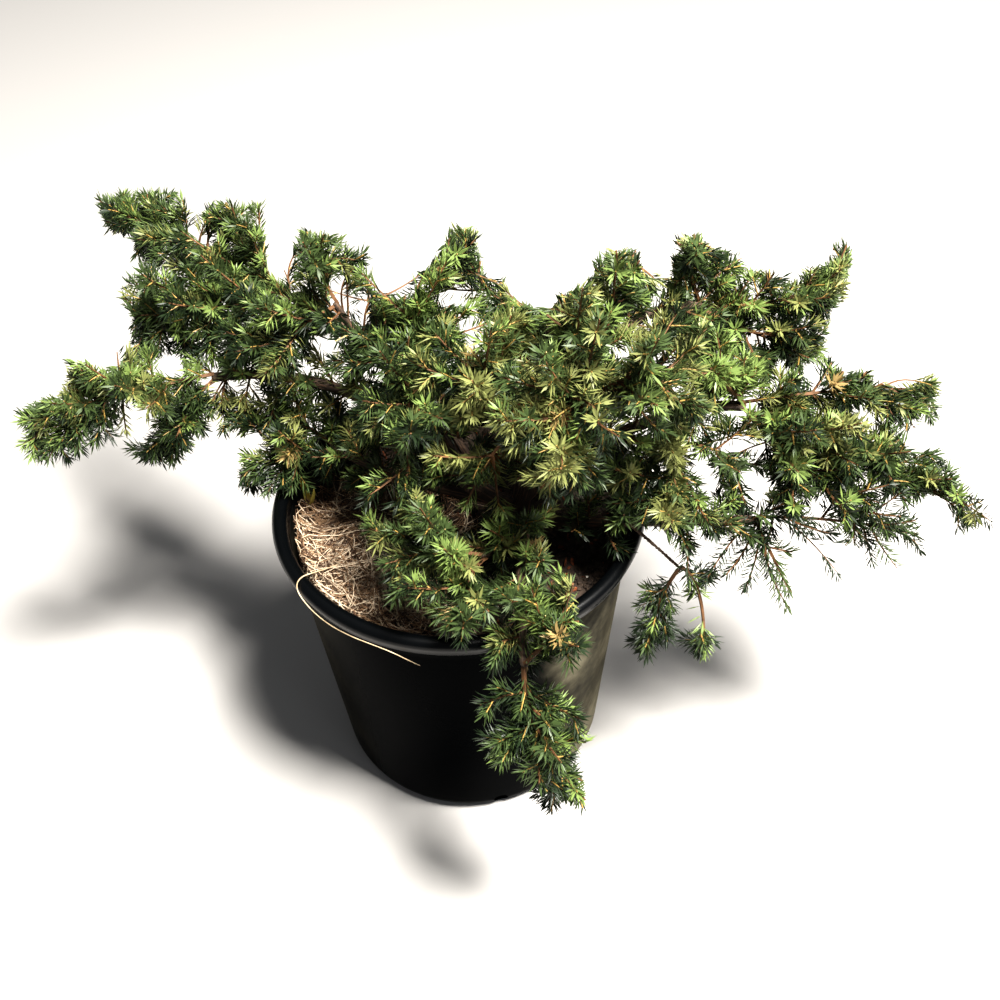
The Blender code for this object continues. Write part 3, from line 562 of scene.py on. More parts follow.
def moulded_plastic(settings):
    """Moulded polyethylene: near black, glossy on the rubbed rim, dull and dust-covered below; on the
    flanks the dust also stands for painted sunlight on the right and painted bounce light on the left.
    """
    material, tree, shader = new_material("moulded_plastic_black", IOR=1.5)
    place = add(tree, "TexCoord").outputs["Object"]
    side = add(tree, "SeparateXYZ", {"Vector": place})
    across, height = side.outputs["X"], side.outputs["Z"]
    clouds = {"Vector": place, "Scale": 1 / DUST_CLOUD, "Detail": 6, "Roughness": 0.62}
    cloud = add(tree, "TexNoise", clouds).outputs["Fac"]
    # Dust lies thick on the right flank, in drifts, and thin on the left one. There it also stands for
    # painted sunlight on the right and painted bounce light on the left.
    drifted = add(tree, "Math", {0: cloud, 1: DUST_AND_SUNLIGHT_DRIFT, 2: across}, operation="MULTIPLY_ADD")
    start, end = RIGHT_DUST_AND_SUNLIGHT
    right = add(
        tree,
        "MapRange",
        {"Value": drifted.outputs[0], "From Min": start, "From Max": end, "To Min": 0, "To Max": 1.3},
        interpolation_type="SMOOTHSTEP",
    )
    start, end = LEFT_DUST_AND_BOUNCE
    left = add(
        tree, "MapRange", {"Value": across, "From Min": start, "From Max": end, "To Min": 0, "To Max": 0.25}
    )
    flank = add(tree, "Math", {0: right.outputs["Result"], 1: left.outputs["Result"]}, operation="ADD")
    patch = add(tree, "ValToRGB", {"Fac": cloud}, ramp=[(0.36, grey(0.15)), (0.68, grey(1))])
    start, end = BARE_RIM
    low = add(tree, "MapRange", {"Value": height, "From Min": start, "From Max": end})
    # The flank masks times the dust patches, below the bare rim: dust and painted light together.
    dust_and_light = flank.outputs[0]
    for mask in (patch.outputs["Color"], low.outputs["Result"]):
        dust_and_light = add(tree, "Math", {0: dust_and_light, 1: mask}, operation="MULTIPLY").outputs[0]
    start, end = RUBBED_RIM
    rubbed = add(
        tree,
        "MapRange",
        {"Value": height, "From Min": start, "From Max": end, "To Min": 0.004, "To Max": 0.22},
    )
    tree.links.new(rubbed.outputs["Result"], shader.inputs["Specular IOR Level"])
    # A few pale specks of grit.
    cells = add(tree, "TexVoronoi", {"Vector": place, "Scale": 1 / GRIT_GAP})
    rare = add(tree, "SeparateXYZ", {"Vector": cells.outputs["Color"]})
    chosen = add(tree, "Math", {0: rare.outputs["X"], 1: 0.84}, operation="GREATER_THAN")
    near = add(tree, "Math", {0: cells.outputs["Distance"], 1: 0.045}, operation="LESS_THAN")
    speck = add(tree, "Math", {0: near.outputs[0], 1: chosen.outputs[0]}, operation="MULTIPLY")
    colour = settings.plastic
    for share, over in ((dust_and_light, settings.dust), (speck.outputs[0], linear("#B9B4A6"))):
        laid = add(tree, "Mix", {"Factor": share, "A": colour, "B": over}, data_type="RGBA")
        colour = laid.outputs["Result"]
    tree.links.new(colour, shader.inputs["Base Color"])
    skin = add(tree, "TexNoise", {"Vector": place, "Scale": 1 / SKIN_GRAIN, "Detail": 3})
    surface(tree, shader, dust_and_light, (0.27, 0.6), skin.outputs["Fac"], 0.25, 0.15 * MM, full=0.5)
    return material


def crumbly(name, low, high, grain, roughness, bump_depth):
    """A dull broken surface: compost, bark flakes, stone or a leaf. The grain is a real size."""
    material, tree, shader = new_material(name, IOR=1.45)
    place = add(tree, "TexCoord").outputs["Object"]
    broken = {"Vector": place, "Scale": 1 / grain, "Detail": 5, "Roughness": 0.65}
    coarse = add(tree, "TexNoise", broken).outputs["Fac"]
    colour = add(tree, "ValToRGB", {"Fac": coarse}, ramp=[(0.34, low), (0.68, high)])
    tree.links.new(colour.outputs["Color"], shader.inputs["Base Color"])
    fine = add(tree, "TexNoise", {"Vector": place, "Scale": 4 / grain, "Detail": 4})
    dull = (roughness, roughness - 0.1)
    surface(tree, shader, coarse, dull, fine.outputs["Fac"], 0.7, bump_depth)
    return material


def peeling_bark(settings):
    """Juniper bark: grey-brown strips that peel lengthwise and show a redder brown below."""
    material, tree, shader = new_material("peeling_bark", IOR=1.45)
    grain = add(tree, "Attribute", attribute_name="grain").outputs["Vector"]
    peeling = {"Vector": grain, "Scale": 1, "Detail": 7, "Roughness": 0.6}
    strips = add(tree, "TexNoise", peeling).outputs["Fac"]
    tones = [(0.32, settings.dark), (0.52, linear("#4A3C31")), (0.7, settings.light)]
    colour = add(tree, "ValToRGB", {"Fac": strips}, ramp=tones)
    tree.links.new(colour.outputs["Color"], shader.inputs["Base Color"])
    surface(tree, shader, strips, (0.92, 0.68), strips, 0.8, 0.6 * MM)
    return material


def waxy_needle(name, colour):
    """A needle's cuticle: a thin wax that gives a faint gleam over one plain green."""
    values = {"Base Color": colour, "Specular IOR Level": 0.3, "Coat Weight": 0.05, "Coat Roughness": 0.4}
    material, tree, shader = new_material(name, IOR=1.48)
    for socket, value in values.items():
        shader.inputs[socket].default_value = value
    place = add(tree, "TexCoord").outputs["Object"]
    wax = add(tree, "TexNoise", {"Vector": place, "Scale": 1 / WAX_GRAIN, "Detail": 3}).outputs["Fac"]
    surface(tree, shader, wax, (0.34, 0.62), wax, 0.3, 0.1 * MM)
    return material


def only(obj):
    """Selects that object alone and makes it the active one."""
    bpy.ops.object.select_all(action="DESELECT")
    obj.select_set(True)
    bpy.context.view_layer.objects.active = obj


def edit(obj):
    only(obj)
    bpy.ops.object.mode_set(mode="EDIT")
    bpy.ops.mesh.select_all(action="SELECT")


def leave_edit():
    bpy.ops.object.mode_set(mode="OBJECT")


def fresh(primitive, **settings):
    """A new primitive, added with nothing else selected."""
    bpy.ops.object.select_all(action="DESELECT")
    primitive(**settings)
    return bpy.context.active_object


def new_object(name, data):
    obj = bpy.data.objects.new(name, data)
    bpy.context.scene.collection.objects.link(obj)
    return obj


def piece(obj, name, material, nodes=()):
    """Names a finished piece, gives it its finish, and says what it rides on and stands for."""
    obj.name = name
    obj.data.name = name
    obj.data.materials.clear()
    obj.data.materials.append(material)
    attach(obj, "root")
    if nodes:
        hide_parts(*nodes)
    return obj


def mesh_object(name, points, faces):
    """An object from arrays of points and faces."""
    mesh = bpy.data.meshes.new(name)
    mesh.from_pydata(points, [], faces)
    return new_object(name, mesh)


def apply_modifier(obj, kind, **settings):
    only(obj)
    modifier = obj.modifiers.new(kind.title(), kind)
    for name, value in settings.items():
        setattr(modifier, name, value)
    bpy.ops.object.modifier_apply(modifier=modifier.name)


def form_of(obj):
    """The points and triangles of a small object that is copied many times. The object goes."""
    apply_modifier(obj, "TRIANGULATE")
    points = np.array([vertex.co for vertex in obj.data.vertices])
    faces = np.array([face.vertices for face in obj.data.polygons])
    bpy.data.objects.remove(obj, do_unlink=True)
    return points, faces


def copies(form, turns, places):
    """A form repeated, each copy with its own three by three turn and its own place."""
    points, faces = form
    spread = np.einsum("nij,kj->nki", turns, points) + places[:, None]
    shift = np.arange(len(places))[:, None, None] * len(points)
    return spread.reshape(-1, 3), (faces[None] + shift).reshape(-1, faces.shape[1])


def random_turns(dice, count):
    """Evenly scattered rotations, as three by three arrays."""
    turns = dice.normal(size=(count, 4))
    return np.array([Quaternion(turn).normalized().to_matrix() for turn in turns])


def strands(name, lines, sides=0):
    """Many tapering round strands as one mesh. Each line is a list of points with radii."""
    curve = bpy.data.curves.new(name, "CURVE")
    curve.dimensions = "3D"
    curve.bevel_depth = MM
    curve.bevel_resolution = sides
    curve.use_fill_caps = True
    for points, radii in lines:
        spline = curve.splines.new("POLY")
        spline.points.add(len(points) - 1)
        spline.points.foreach_set("co", np.column_stack([points, np.ones(len(points))]).ravel())
        spline.points.foreach_set("radius", np.array(radii) / MM)
    obj = new_object(name, curve)
    only(obj)
    bpy.ops.object.convert(target="MESH")
    obj = bpy.context.active_object
    edit(obj)
    bpy.ops.mesh.remove_doubles(threshold=0.01 * MM)
    bpy.ops.mesh.normals_make_consistent(inside=False)
    leave_edit()
    bpy.ops.object.shade_smooth_by_angle(angle=math.radians(60))
    return obj


def turned(name, profile, steps):
    """A round body: one point drawn out along a profile, then spun about Z and closed."""
    radius, height = profile[0]
    obj = fresh(bpy.ops.mesh.primitive_plane_add, size=MM, location=(0, 0, 0))
    obj.name = name
    edit(obj)
    bpy.ops.mesh.merge(type="CENTER")
    bpy.ops.transform.translate(value=(radius, 0, height))
    for (x0, z0), (x1, z1) in zip(profile, profile[1:]):
        bpy.ops.mesh.extrude_vertices_move(TRANSFORM_OT_translate={"value": (x1 - x0, 0, z1 - z0)})
    bpy.ops.mesh.select_all(action="SELECT")
    bpy.ops.mesh.spin(steps=steps, angle=math.tau, center=(0, 0, 0), axis=(0, 0, 1))
    bpy.ops.mesh.select_all(action="SELECT")
    bpy.ops.mesh.remove_doubles(threshold=0.02 * MM)
    bpy.ops.mesh.normals_make_consistent(inside=False)
    leave_edit()
    return obj


def wall_radius(height):
    """Outer radius of the pot's tapering wall."""
    top = RIM_RADIUS - RIM_LIP
    return BASE_RADIUS + (top - BASE_RADIUS) * height / POT_HEIGHT


def arc(centre, radius, start, end, steps):
    """Points of a round stretch of a profile, with angles in degrees from +X."""
    turns = [math.radians(start + (end - start) * i / steps) for i in range(steps + 1)]
    return [(centre[0] + radius * math.cos(a), centre[1] + radius * math.sin(a)) for a in turns]


def line(start, end, steps):
    """Evenly spaced points after the start, up to the end."""
    return [
        tuple(a + (b - a) * (i + 1) / steps for a, b in zip(start, end)) for i in range(steps)
    ]


def pot_profile(settings):
    """Up the inside from the middle of the floor, over the rolled rim and down to the underside."""
    height, rim, wall = settings.height, settings.rim_radius, settings.wall
    inner_top = wall_radius(height) - wall
    roll = (rim - inner_top) / 2
    foot = (BASE_RADIUS - FOOT_ROUNDING, FOOT_ROUNDING)
    profile = [(0, wall)] + line((0, wall), (foot[0], wall), 3)
    profile += arc(foot, FOOT_ROUNDING - wall, -90, 0, 6)[1:]
    profile += line(profile[-1], (inner_top, height - roll), 9)
    profile += arc((inner_top + roll, height - roll), roll, 180, 0, 14)[1:]
    bead_foot = height - roll - 1.6 * MM
    profile += [(rim - 0.15 * MM, height - roll - 0.9 * MM), (rim - 1.1 * MM, bead_foot)]
    band_foot = height - RIM_BAND
    profile += [(rim - 1.3 * MM, bead_foot - 0.9 * MM), (rim - 1.7 * MM, band_foot + 0.8 * MM)]
    profile += arc((rim - 2.5 * MM, band_foot + 0.8 * MM), 0.8 * MM, 0, -90, 3)[1:]
    shoulder = (wall_radius(band_foot) + 0.8 * MM, band_foot)
    profile += [shoulder, (wall_radius(band_foot - MM), band_foot - MM)]
    profile += line(profile[-1], (BASE_RADIUS, FOOT_ROUNDING), 14)
    profile += arc(foot, FOOT_ROUNDING, 0, -90, 8)[1:]
    profile += [(foot[0] - 6 * MM, 0), (foot[0] - 8 * MM, 0.8 * MM), (0, 0.8 * MM)]
    return profile


def make_pot(settings):
    """The pot, a little out of round as thin plastic is, with holes through its foot."""
    obj = turned("pot_body", pot_profile(settings), 144)
    for vertex in obj.data.vertices:
        out = Vector((vertex.co.x, vertex.co.y, 0))
        if out.length > BASE_RADIUS / 2:
            ripple = noise.noise(Vector((*(out.normalized() * 1.6).xy, vertex.co.z * 9)))
            share = vertex.co.z / settings.height
            vertex.co += out.normalized() * ripple * settings.wobble * share
    for i in range(DRAIN_HOLES):
        angle = math.tau * i / DRAIN_HOLES - math.radians(78)
        out = Vector((math.cos(angle), math.sin(angle), 0))
        drill = fresh(
            bpy.ops.mesh.primitive_cylinder_add,
            vertices=24,
            radius=DRAIN_HOLE_RADIUS,
            depth=4 * FOOT_ROUNDING,
            location=out * BASE_RADIUS + UP * DRAIN_HOLE_HEIGHT,
            rotation=out.to_track_quat("Z", "Y").to_euler(),
        )
        apply_modifier(obj, "BOOLEAN", operation="DIFFERENCE", object=drill, solver="EXACT")
        bpy.data.objects.remove(drill, do_unlink=True)
    only(obj)
    bpy.ops.object.shade_smooth_by_angle(angle=math.radians(40))
    return piece(obj, "pot_shell", moulded_plastic(settings), ["pot"])


def mat_height(x, y):
    """How far the dry grass stands above the bare compost, at one place or at many."""
    away = np.hypot(x - MAT_CENTRE[0], y - MAT_CENTRE[1]) / MAT_REACH
    return MAT_HEIGHT * np.cos(np.pi / 2 * np.minimum(away, 1)) ** 2


def ground(x, y, relief=3.5 * MM):
    """Height of the compost, which rises part of the way into the mat."""
    lumps = noise.fractal(Vector((x, y, 0)) * 70, 0.9, 2.1, 4)
    return SOIL_LEVEL + 0.7 * mat_height(x, y) + relief * 0.55 * lumps - 0.2 * relief


def inner_radius(height):
    return wall_radius(height) - POT_WALL


def make_compost(settings):
    """The compost with its broken surface, then crumbs, flakes of bark and bits of perlite."""
    side = inner_radius(SOIL_LEVEL) - 2 * SEAT_GAP
    foot = (BASE_RADIUS - FOOT_ROUNDING, FOOT_ROUNDING)
    inset = POT_WALL + 2 * SEAT_GAP
    profile = [(0, SOIL_LEVEL)] + line((0, SOIL_LEVEL), (side, SOIL_LEVEL), 70)
    profile += arc(foot, FOOT_ROUNDING - inset, 0, -60, 3)
    profile += [(foot[0], inset), (0, inset)]
    obj = turned("compost_body", profile, 200)
    for vertex in obj.data.vertices:
        if vertex.co.z > SOIL_LEVEL - MM:
            vertex.co.z = ground(vertex.co.x, vertex.co.y, settings.relief)
    only(obj)
    bpy.ops.object.shade_smooth_by_angle(angle=math.radians(50))
    soil = crumbly("potting_compost_damp", settings.dark, settings.light, 3 * MM, 0.97, 0.8 * MM)
    piece(obj, "compost_bed", soil, ["soil"])

    dice = np.random.default_rng(SEED)
    lump = fresh(bpy.ops.mesh.primitive_ico_sphere_add, subdivisions=1, radius=1)
    edit(lump)
    bpy.ops.transform.vertex_random(offset=0.28, seed=SEED)
    leave_edit()
    form = form_of(lump)
    chips = crumbly("bark_flake", settings.dark, settings.chip, 2 * MM, 0.85, 0.3 * MM)
    grains = crumbly("perlite", linear("#A59F94"), linear("#D8D4CB"), 1 * MM, 0.8, 0.2 * MM)
    # Each kind's name, count, sizes in millimetres, proportions and finish.
    kinds = (
        ("compost_crumbs", settings.crumbs, (0.6, 2.4), (1, 1, 0.8), soil),
        ("bark_flakes", 260, (1.5, 4.2), (1, 0.5, 0.22), chips),
        ("perlite_grains", 26, (0.8, 1.6), (1, 1, 0.9), grains),
    )
    for name, count, sizes, stretch, material in kinds:
        around = dice.uniform(0, math.tau, count)
        out = np.sqrt(dice.uniform(0, 1, count)) * (side - 3 * MM)
        x, y = out * np.cos(around), out * np.sin(around)
        scale = dice.uniform(*sizes, count) * MM
        z = np.array([ground(a, b, settings.relief) for a, b in zip(x, y)]) + scale * 0.25
        turns = random_turns(dice, count) * (scale[:, None] * np.array(stretch))[:, None, :]
        points, faces = copies(form, turns, np.column_stack([x, y, z]))
        piece(mesh_object(name, points, faces), name, material)


def wander(dice, start, heading, step):
    """A strand's course over the mat, which drifts up beside the pot's wall and turns back."""
    x, y = start
    course = []
    turn = dice.normal(0, STRAND_BEND)
    lift = dice.uniform(0, STRAND_LIFT)
    wall = inner_radius(SOIL_LEVEL)
    near = wall - (1 + 17 * dice.uniform(0, 1) ** 2) * MM
    for i in range(STRAND_POINTS):
        if math.hypot(x, y) > near:
            shrink = near / math.hypot(x, y)
            x, y = x * shrink, y * shrink
            heading = math.atan2(-y, -x) + dice.uniform(-1.2, 1.2)
        edge = max(0, (math.hypot(x, y) - DRIFT_FROM) / (wall - DRIFT_FROM))
        cover = mat_height(x, y) * 0.5 + STRAND_COVER + DRIFT_HEIGHT * edge**2 * (x < 0)
        wave = STRAND_WAVE * math.sin(i * 1.1 + turn * 9)
        course.append((x, y, ground(x, y) + 0.5 * MM + cover * lift + abs(wave)))
        heading += turn + dice.normal(0, STRAND_BEND / 2)
        x, y = x + math.cos(heading) * step, y + math.sin(heading) * step
    return course


def make_grass(settings):
    """The tangled mat of dry grass at the left of the trunk, in three tones."""
    dice = np.random.default_rng(SEED + 1)
    bundles = {"pale": [], "tan": [], "brown": []}
    last = STRAND_POINTS - 1
    for number in range(settings.strands):
        reach = MAT_REACH * (1.12 if number % 6 == 0 else 0.86) * math.sqrt(dice.uniform(0, 1))
        around = dice.uniform(0, math.tau)
        x = MAT_CENTRE[0] + reach * math.cos(around)
        y = MAT_CENTRE[1] + reach * math.sin(around)
        course = wander(dice, (x, y), dice.uniform(0, math.tau), dice.uniform(*STRAND_STEPS) * MM)
        thick = settings.thickness * dice.uniform(0.6, 1.25)
        radii = [thick * (1 - STRAND_ENDS * abs(2 * i / last - 1)) for i in range(STRAND_POINTS)]
        patch = noise.noise(Vector((x, y, 0.4)) * BLEACHED_PATCHES_A_METRE)
        # Strands at the back of the mat are less often pale: painted shade.
        shaded = y > MAT_CENTRE[1] + 22 * MM
        pale_share = min(0.75, max(0.06, 0.38 + 0.6 * patch - 0.3 * shaded))
        shares = (pale_share, (1 - pale_share) * 0.55, (1 - pale_share) * 0.45)
        bundles[str(dice.choice(list(bundles), p=shares))].append((course, radii))
    for tone, lines in bundles.items():
        colour = getattr(settings, tone)
        dry = crumbly(f"dry_grass_{tone}", dimmed(colour, 0.55), colour, 5 * MM, 0.78, 0.1 * MM)
        piece(strands(f"grass_{tone}", lines), f"grass_{tone}", dry)


def blade(length, width, curl, fold, ragged):
    """A leaf from a flat disc: drawn to a point at both ends, folded along its rib and curled."""
    obj = fresh(bpy.ops.mesh.primitive_grid_add, x_subdivisions=14, y_subdivisions=4, size=1)
    for vertex in obj.data.vertices:
        along, across = vertex.co.x + 0.5, vertex.co.y * 2
        half = width / 2 * math.sin(math.pi * min(1, along * 0.94 + 0.05)) ** 0.8
        half *= 1 + ragged * noise.noise(Vector((along * 9, across * 2, 3)))
        angle = curl * along
        radius = length / curl
        across_place = across * half
        rise = abs(across) * half * math.tan(fold)
        vertex.co = (
            (radius - rise) * math.sin(angle),
            across_place,
            radius - (radius - rise) * math.cos(angle),
        )
    apply_modifier(obj, "SOLIDIFY", thickness=0.35 * MM, offset=0)
    only(obj)
    bpy.ops.object.shade_smooth_by_angle(angle=math.radians(60))
    return obj


def lay(obj, place, turn, lean=0, roll=0):
    """Turns a modelled bit and puts it in its place, in its mesh."""
    obj.data.transform(
        Matrix.Translation(place)
        @ Matrix.Rotation(math.radians(turn), 4, "Z")
        @ Matrix.Rotation(math.radians(-lean), 4, "Y")
        @ Matrix.Rotation(math.radians(roll), 4, "X")
    )
    obj.matrix_basis = Matrix.Identity(4)
    return obj


def rounded(points):
    """A line with its corners cut twice."""
    for _ in range(2):
        before, after = points[:-1], points[1:]
        cut = np.stack([0.75 * before + 0.25 * after, 0.25 * before + 0.75 * after], axis=1)
        points = np.vstack([points[:1], cut.reshape(-1, 3), points[-1:]])
    return points


def make_litter():
    """The bits that have fallen into the pot: leaves, a pebble and long straws."""
    # The split leaf's light yellow also stands for painted sunlight on it.
    green = crumbly("wilting_leaf", linear("#A39C3A"), linear("#DCC873"), 6 * MM, 0.6, 0.1 * MM)
    brown = crumbly("dead_leaf", linear("#7A5330"), linear("#C49A66"), 5 * MM, 0.7, 0.2 * MM)
    turning = crumbly("turning_leaf", linear("#5F6C2E"), linear("#A5672F"), 9 * MM, 0.5, 0.1 * MM)
    # A leaf's name and finish, its length, width and place in millimetres, its curl, fold and
    # raggedness, and its turn, lean and roll in degrees.
    leaves = (
        ("split_leaf_1", green, 30, 4.6, (-95, 17, 189), (0.7, 0.5, 0.5), (75, 78, 0)),
        ("split_leaf_2", green, 26, 4.6, (-95, 17, 189), (0.7, 0.5, 0.5), (170, 70, 0)),
        ("split_leaf_3", green, 22, 4.6, (-95, 17, 189), (0.7, 0.5, 0.5), (-35, 50, 0)),
        ("curled_leaf", brown, 26, 12, (-9, 58, 194), (2.1, 0.5, 0.8), (35, 25, 20)),
        ("pointed_leaf", turning, 27, 9, (24, 40, 188), (0.8, 0.6, 0), (118, 42, -10)),
    )
    for name, finish, length, width, place, form, turns in leaves:
        leaf = blade(length * MM, width * MM, *form)
        piece(lay(leaf, [value * MM for value in place], *turns), name, finish)

    pebble = fresh(bpy.ops.mesh.primitive_ico_sphere_add, subdivisions=3, radius=PEBBLE_RADIUS)
    edit(pebble)
    bpy.ops.transform.resize(value=(1.2, 0.85, 0.7))
    bpy.ops.transform.vertex_random(offset=0.12 * MM, seed=SEED)
    leave_edit()
    bpy.ops.object.shade_smooth()
    spot = (-30 * MM, -84 * MM)
    lay(pebble, (*spot, ground(*spot) + PEBBLE_RADIUS + 0.1 * MM), 25)
    stone = crumbly("grey_stone", linear("#6E7680"), linear("#A7ADB3"), 1.5 * MM, 0.5, 0.1 * MM)
    piece(pebble, "pebble", stone)

    # Each straw's points in millimetres: one hangs over the rim, and three stand up in the mat.
    over_rim = [
        (-66, -34, 196),
        (-74, -44, 201),
        (-83, -55, 209),
        (-88.5, -62, 213.8),
        (-91, -66.5, 211.5),
        (-88.6, -70.6, 206.5),
        (-80.8, -79.4, 203.5),
        (-71, -88.2, 202.5),
        (-59.6, -96.2, 203),
        (-47.7, -102.6, 203.5),
        (-36.8, -107, 202),
        (-28, -108.5, 196),
        (-22.4, -105, 186),
    ]
    straws = [over_rim]
    for x, y, dx, dy, tall in ((-57, 14, -8, 6, 26), (-43, 24, 6, 4, 24), (-66, 2, -13, -3, 20)):
        base = ground(x * MM, y * MM) / MM
        straws.append([(x + dx * s * s, y + dy * s, base + tall * s) for s in (0, 0.3, 0.55, 0.8, 1)])
    lines = []
    for points in straws:
        places = rounded(np.array(points)) * MM
        lines.append((places, np.linspace(0.42, 0.25, len(places)) * MM))
    dry = crumbly("long_straw", linear("#A08B6E"), linear("#C4B292"), 5 * MM, 0.6, 0.1 * MM)
    piece(strands("straws", lines, sides=1), "long_straws", dry)


def bowed_route(start, part):
    """The route of a limb or stem, from its numbers: a chord that bows upwards and sideways."""
    heading = math.radians(part.heading)
    ahead = Vector((math.cos(heading), math.sin(heading), 0))
    left = Vector((-ahead.y, ahead.x, 0))

    def at(share):
        bow = 4 * share * (1 - share)
        chord = (ahead * part.reach + UP * part.rise) * share
        return start + (chord + (UP * part.arch + left * part.sweep) * bow) * MM

    return at


def direction(route, share):
    step = 0.01
    return (route(min(1, share + step)) - route(max(0, share - step))).normalized()


class Growth:
    """A limb's route and radius, along with where it leaves its parent."""

    def __init__(self, limb, parent):
        self.limb = limb
        foot, along = parent.place(limb.at) if parent else (TRUNK_FOOT + UP * SEAT_GAP, UP)
        self.route = bowed_route(foot, limb)
        if parent is None:
            start = [(up / limb.rise, foot + UP * up * MM, radius * MM) for up, radius in FLARE]
            first_share = FIRST_TRUNK_SHARE
        else:
            start, first_share = self.collar(parent, foot, along)
        steps = [first_share + (1 - first_share) * i / (LIMB_POINTS - 2) for i in range(LIMB_POINTS - 1)]
        line = start + [(share, self.route(share), self.radius(share)) for share in steps]
        self.shares, self.points, self.radii = zip(*line)

    def radius(self, share):
        base, tip = self.limb.base_radius * MM, self.limb.tip_radius * MM
        return base + (tip - base) * share

    def collar(self, parent, foot, along):
        """The short stretch that stands flush off the parent, and where the route takes over."""
        ahead = direction(self.route, 0)
        base = self.radius(0)
        if self.limb.at == 1:
            out = along
            start = foot + out * SEAT_GAP
        else:
            out = (ahead - along * ahead.dot(along)).normalized()
            slant = max(LEAST_SLANT, ahead.dot(out))
            start = foot + ahead * (parent.radius(self.limb.at) + SEAT_GAP) / slant
        end = start + out * base * COLLAR_LENGTH
        clear = (end - foot).length + base * COLLAR_CLEARANCE
        first_share = next(s / 50 for s in range(50) if (self.route(s / 50) - foot).length > clear)
        return [(0, start, base), (first_share / 2, end, base)], first_share

    def place(self, share):
        """The point on the limb's line at that share of it, and the way the line runs there."""
        i = next(i for i, mark in enumerate(self.shares) if mark >= share)
        before, after = self.points[i - 1], self.points[i]
        part = (share - self.shares[i - 1]) / (self.shares[i] - self.shares[i - 1])
        return before.lerp(after, part), (after - before).normalized()

    def tip(self):
        """The tip, the way it points and its radius."""
        ahead = (self.points[-1] - self.points[-2]).normalized()
        return self.points[-1], ahead, self.radii[-1]


class Space:
    """What is already grown, as balls along every limb and shoot, so that new growth keeps clear."""

    def __init__(self):
        self.centres = np.empty((0, 3))
        self.radii = np.empty(0)
        self.owners = np.empty(0, int)

    def take(self, points, radii, owner):
        self.centres = np.vstack([self.centres, np.array(points, float)])
        self.radii = np.concatenate([self.radii, np.array(radii, float)])
        self.owners = np.concatenate([self.owners, np.full(len(points), owner)])

    def free(self, point, radius, owner):
        """Whether a ball there touches nothing that another owner holds, nor the pot."""
        other = self.owners != owner
        away = np.linalg.norm(self.centres[other] - np.array(point), axis=1)
        return bool((away > self.radii[other] + radius + SEAT_GAP).all()) and free_of_pot(point, radius)

    def roomy(self, point, owner):
        """Whether the owner's own shoots leave that point enough light."""
        own = self.centres[self.owners == owner]
        return bool((np.linalg.norm(own - np.array(point), axis=1) > OWN_ROOM).all())


def free_of_pot(point, radius):
    """Whether a ball there is clear of the pot, of the compost and of the ground."""
    out = math.hypot(point[0], point[1])
    if point[2] - radius > POT_HEIGHT:
        return True
    beside_rim = point[2] + radius > POT_HEIGHT - RIM_BAND
    outside = out - radius > (RIM_RADIUS if beside_rim else wall_radius(point[2]))
    inside = out + radius < wall_radius(SOIL_LEVEL) - POT_WALL
    above = point[2] - radius > SOIL_LEVEL + mat_height(point[0], point[1]) + SEAT_GAP
    return (outside and point[2] > radius + CROWD_REACH) or (inside and above)


class Shoot:
    """A shoot of the solids: stations along a route, with the sides still free after each."""

    def __init__(self, route, base_radius, tip_radius, owner, seat=None):
        marks = [route(i / 40) for i in range(41)]
        self.length = sum((b - a).length for a, b in zip(marks, marks[1:]))
        count = max(3, round(self.length / WHORL_GAP))
        self.route = route
        self.points = [route(i / count) for i in range(count + 1)]
        self.radii = [base_radius + (tip_radius - base_radius) * i / count for i in range(count + 1)]
        self.owner = owner
        self.seat = seat
        bare = BARE_BASE / self.length * count
        self.sides = [set() if i < bare else set(range(3)) for i in range(count)]

    def middles(self):
        return [(a + b) / 2 for a, b in zip(self.points, self.points[1:])]

    def envelope(self):
        """How much room each length is given, by whether it bears needles."""
        return [CROWD_REACH if sides else STEM_RADIUS for sides in self.sides]

    def fits(self, space):
        middles = self.middles()
        outer = middles[len(middles) // 2 :]
        return all(space.roomy(middle, self.owner) for middle in outer) and all(
            space.free(middle, reach, self.owner) for middle, reach in zip(middles, self.envelope())
        )

    def outward(self, station, side):
        """The way that a side of the core faces, and the way that the shoot points there."""
        corners, ahead = list(ring_places(self))[station]
        out = corners[side] + corners[(side + 1) % 3] - 2 * self.points[station]
        out.rotate(Quaternion(ahead, WHORL_TURN / 2))
        return out.normalized(), ahead


def ring_places(shoot):
    """The three corners of the core at every station, with the way the shoot points there."""
    ahead = (shoot.points[1] - shoot.points[0]).normalized()
    side = ahead.orthogonal().normalized()
    last = len(shoot.points) - 1
    for i, (point, radius) in enumerate(zip(shoot.points, shoot.radii)):
        now = (shoot.points[min(i + 1, last)] - shoot.points[max(i - 1, 0)]).normalized()
        if i == 0 and shoot.seat:
            now = shoot.seat
        side.rotate(ahead.rotation_difference(now))
        ahead = now
        corners = []
        for corner in range(3):
            out = side.copy()
            out.rotate(Quaternion(ahead, WHORL_TURN * i + corner * math.tau / 3))
            corners.append(point + out * radius)
        yield corners, ahead


def aim(part):
    """The way from the start of a limb or stem to its tip."""
    heading = math.radians(part.heading)
    return Vector((math.cos(heading) * part.reach, math.sin(heading) * part.reach, part.rise)).normalized()


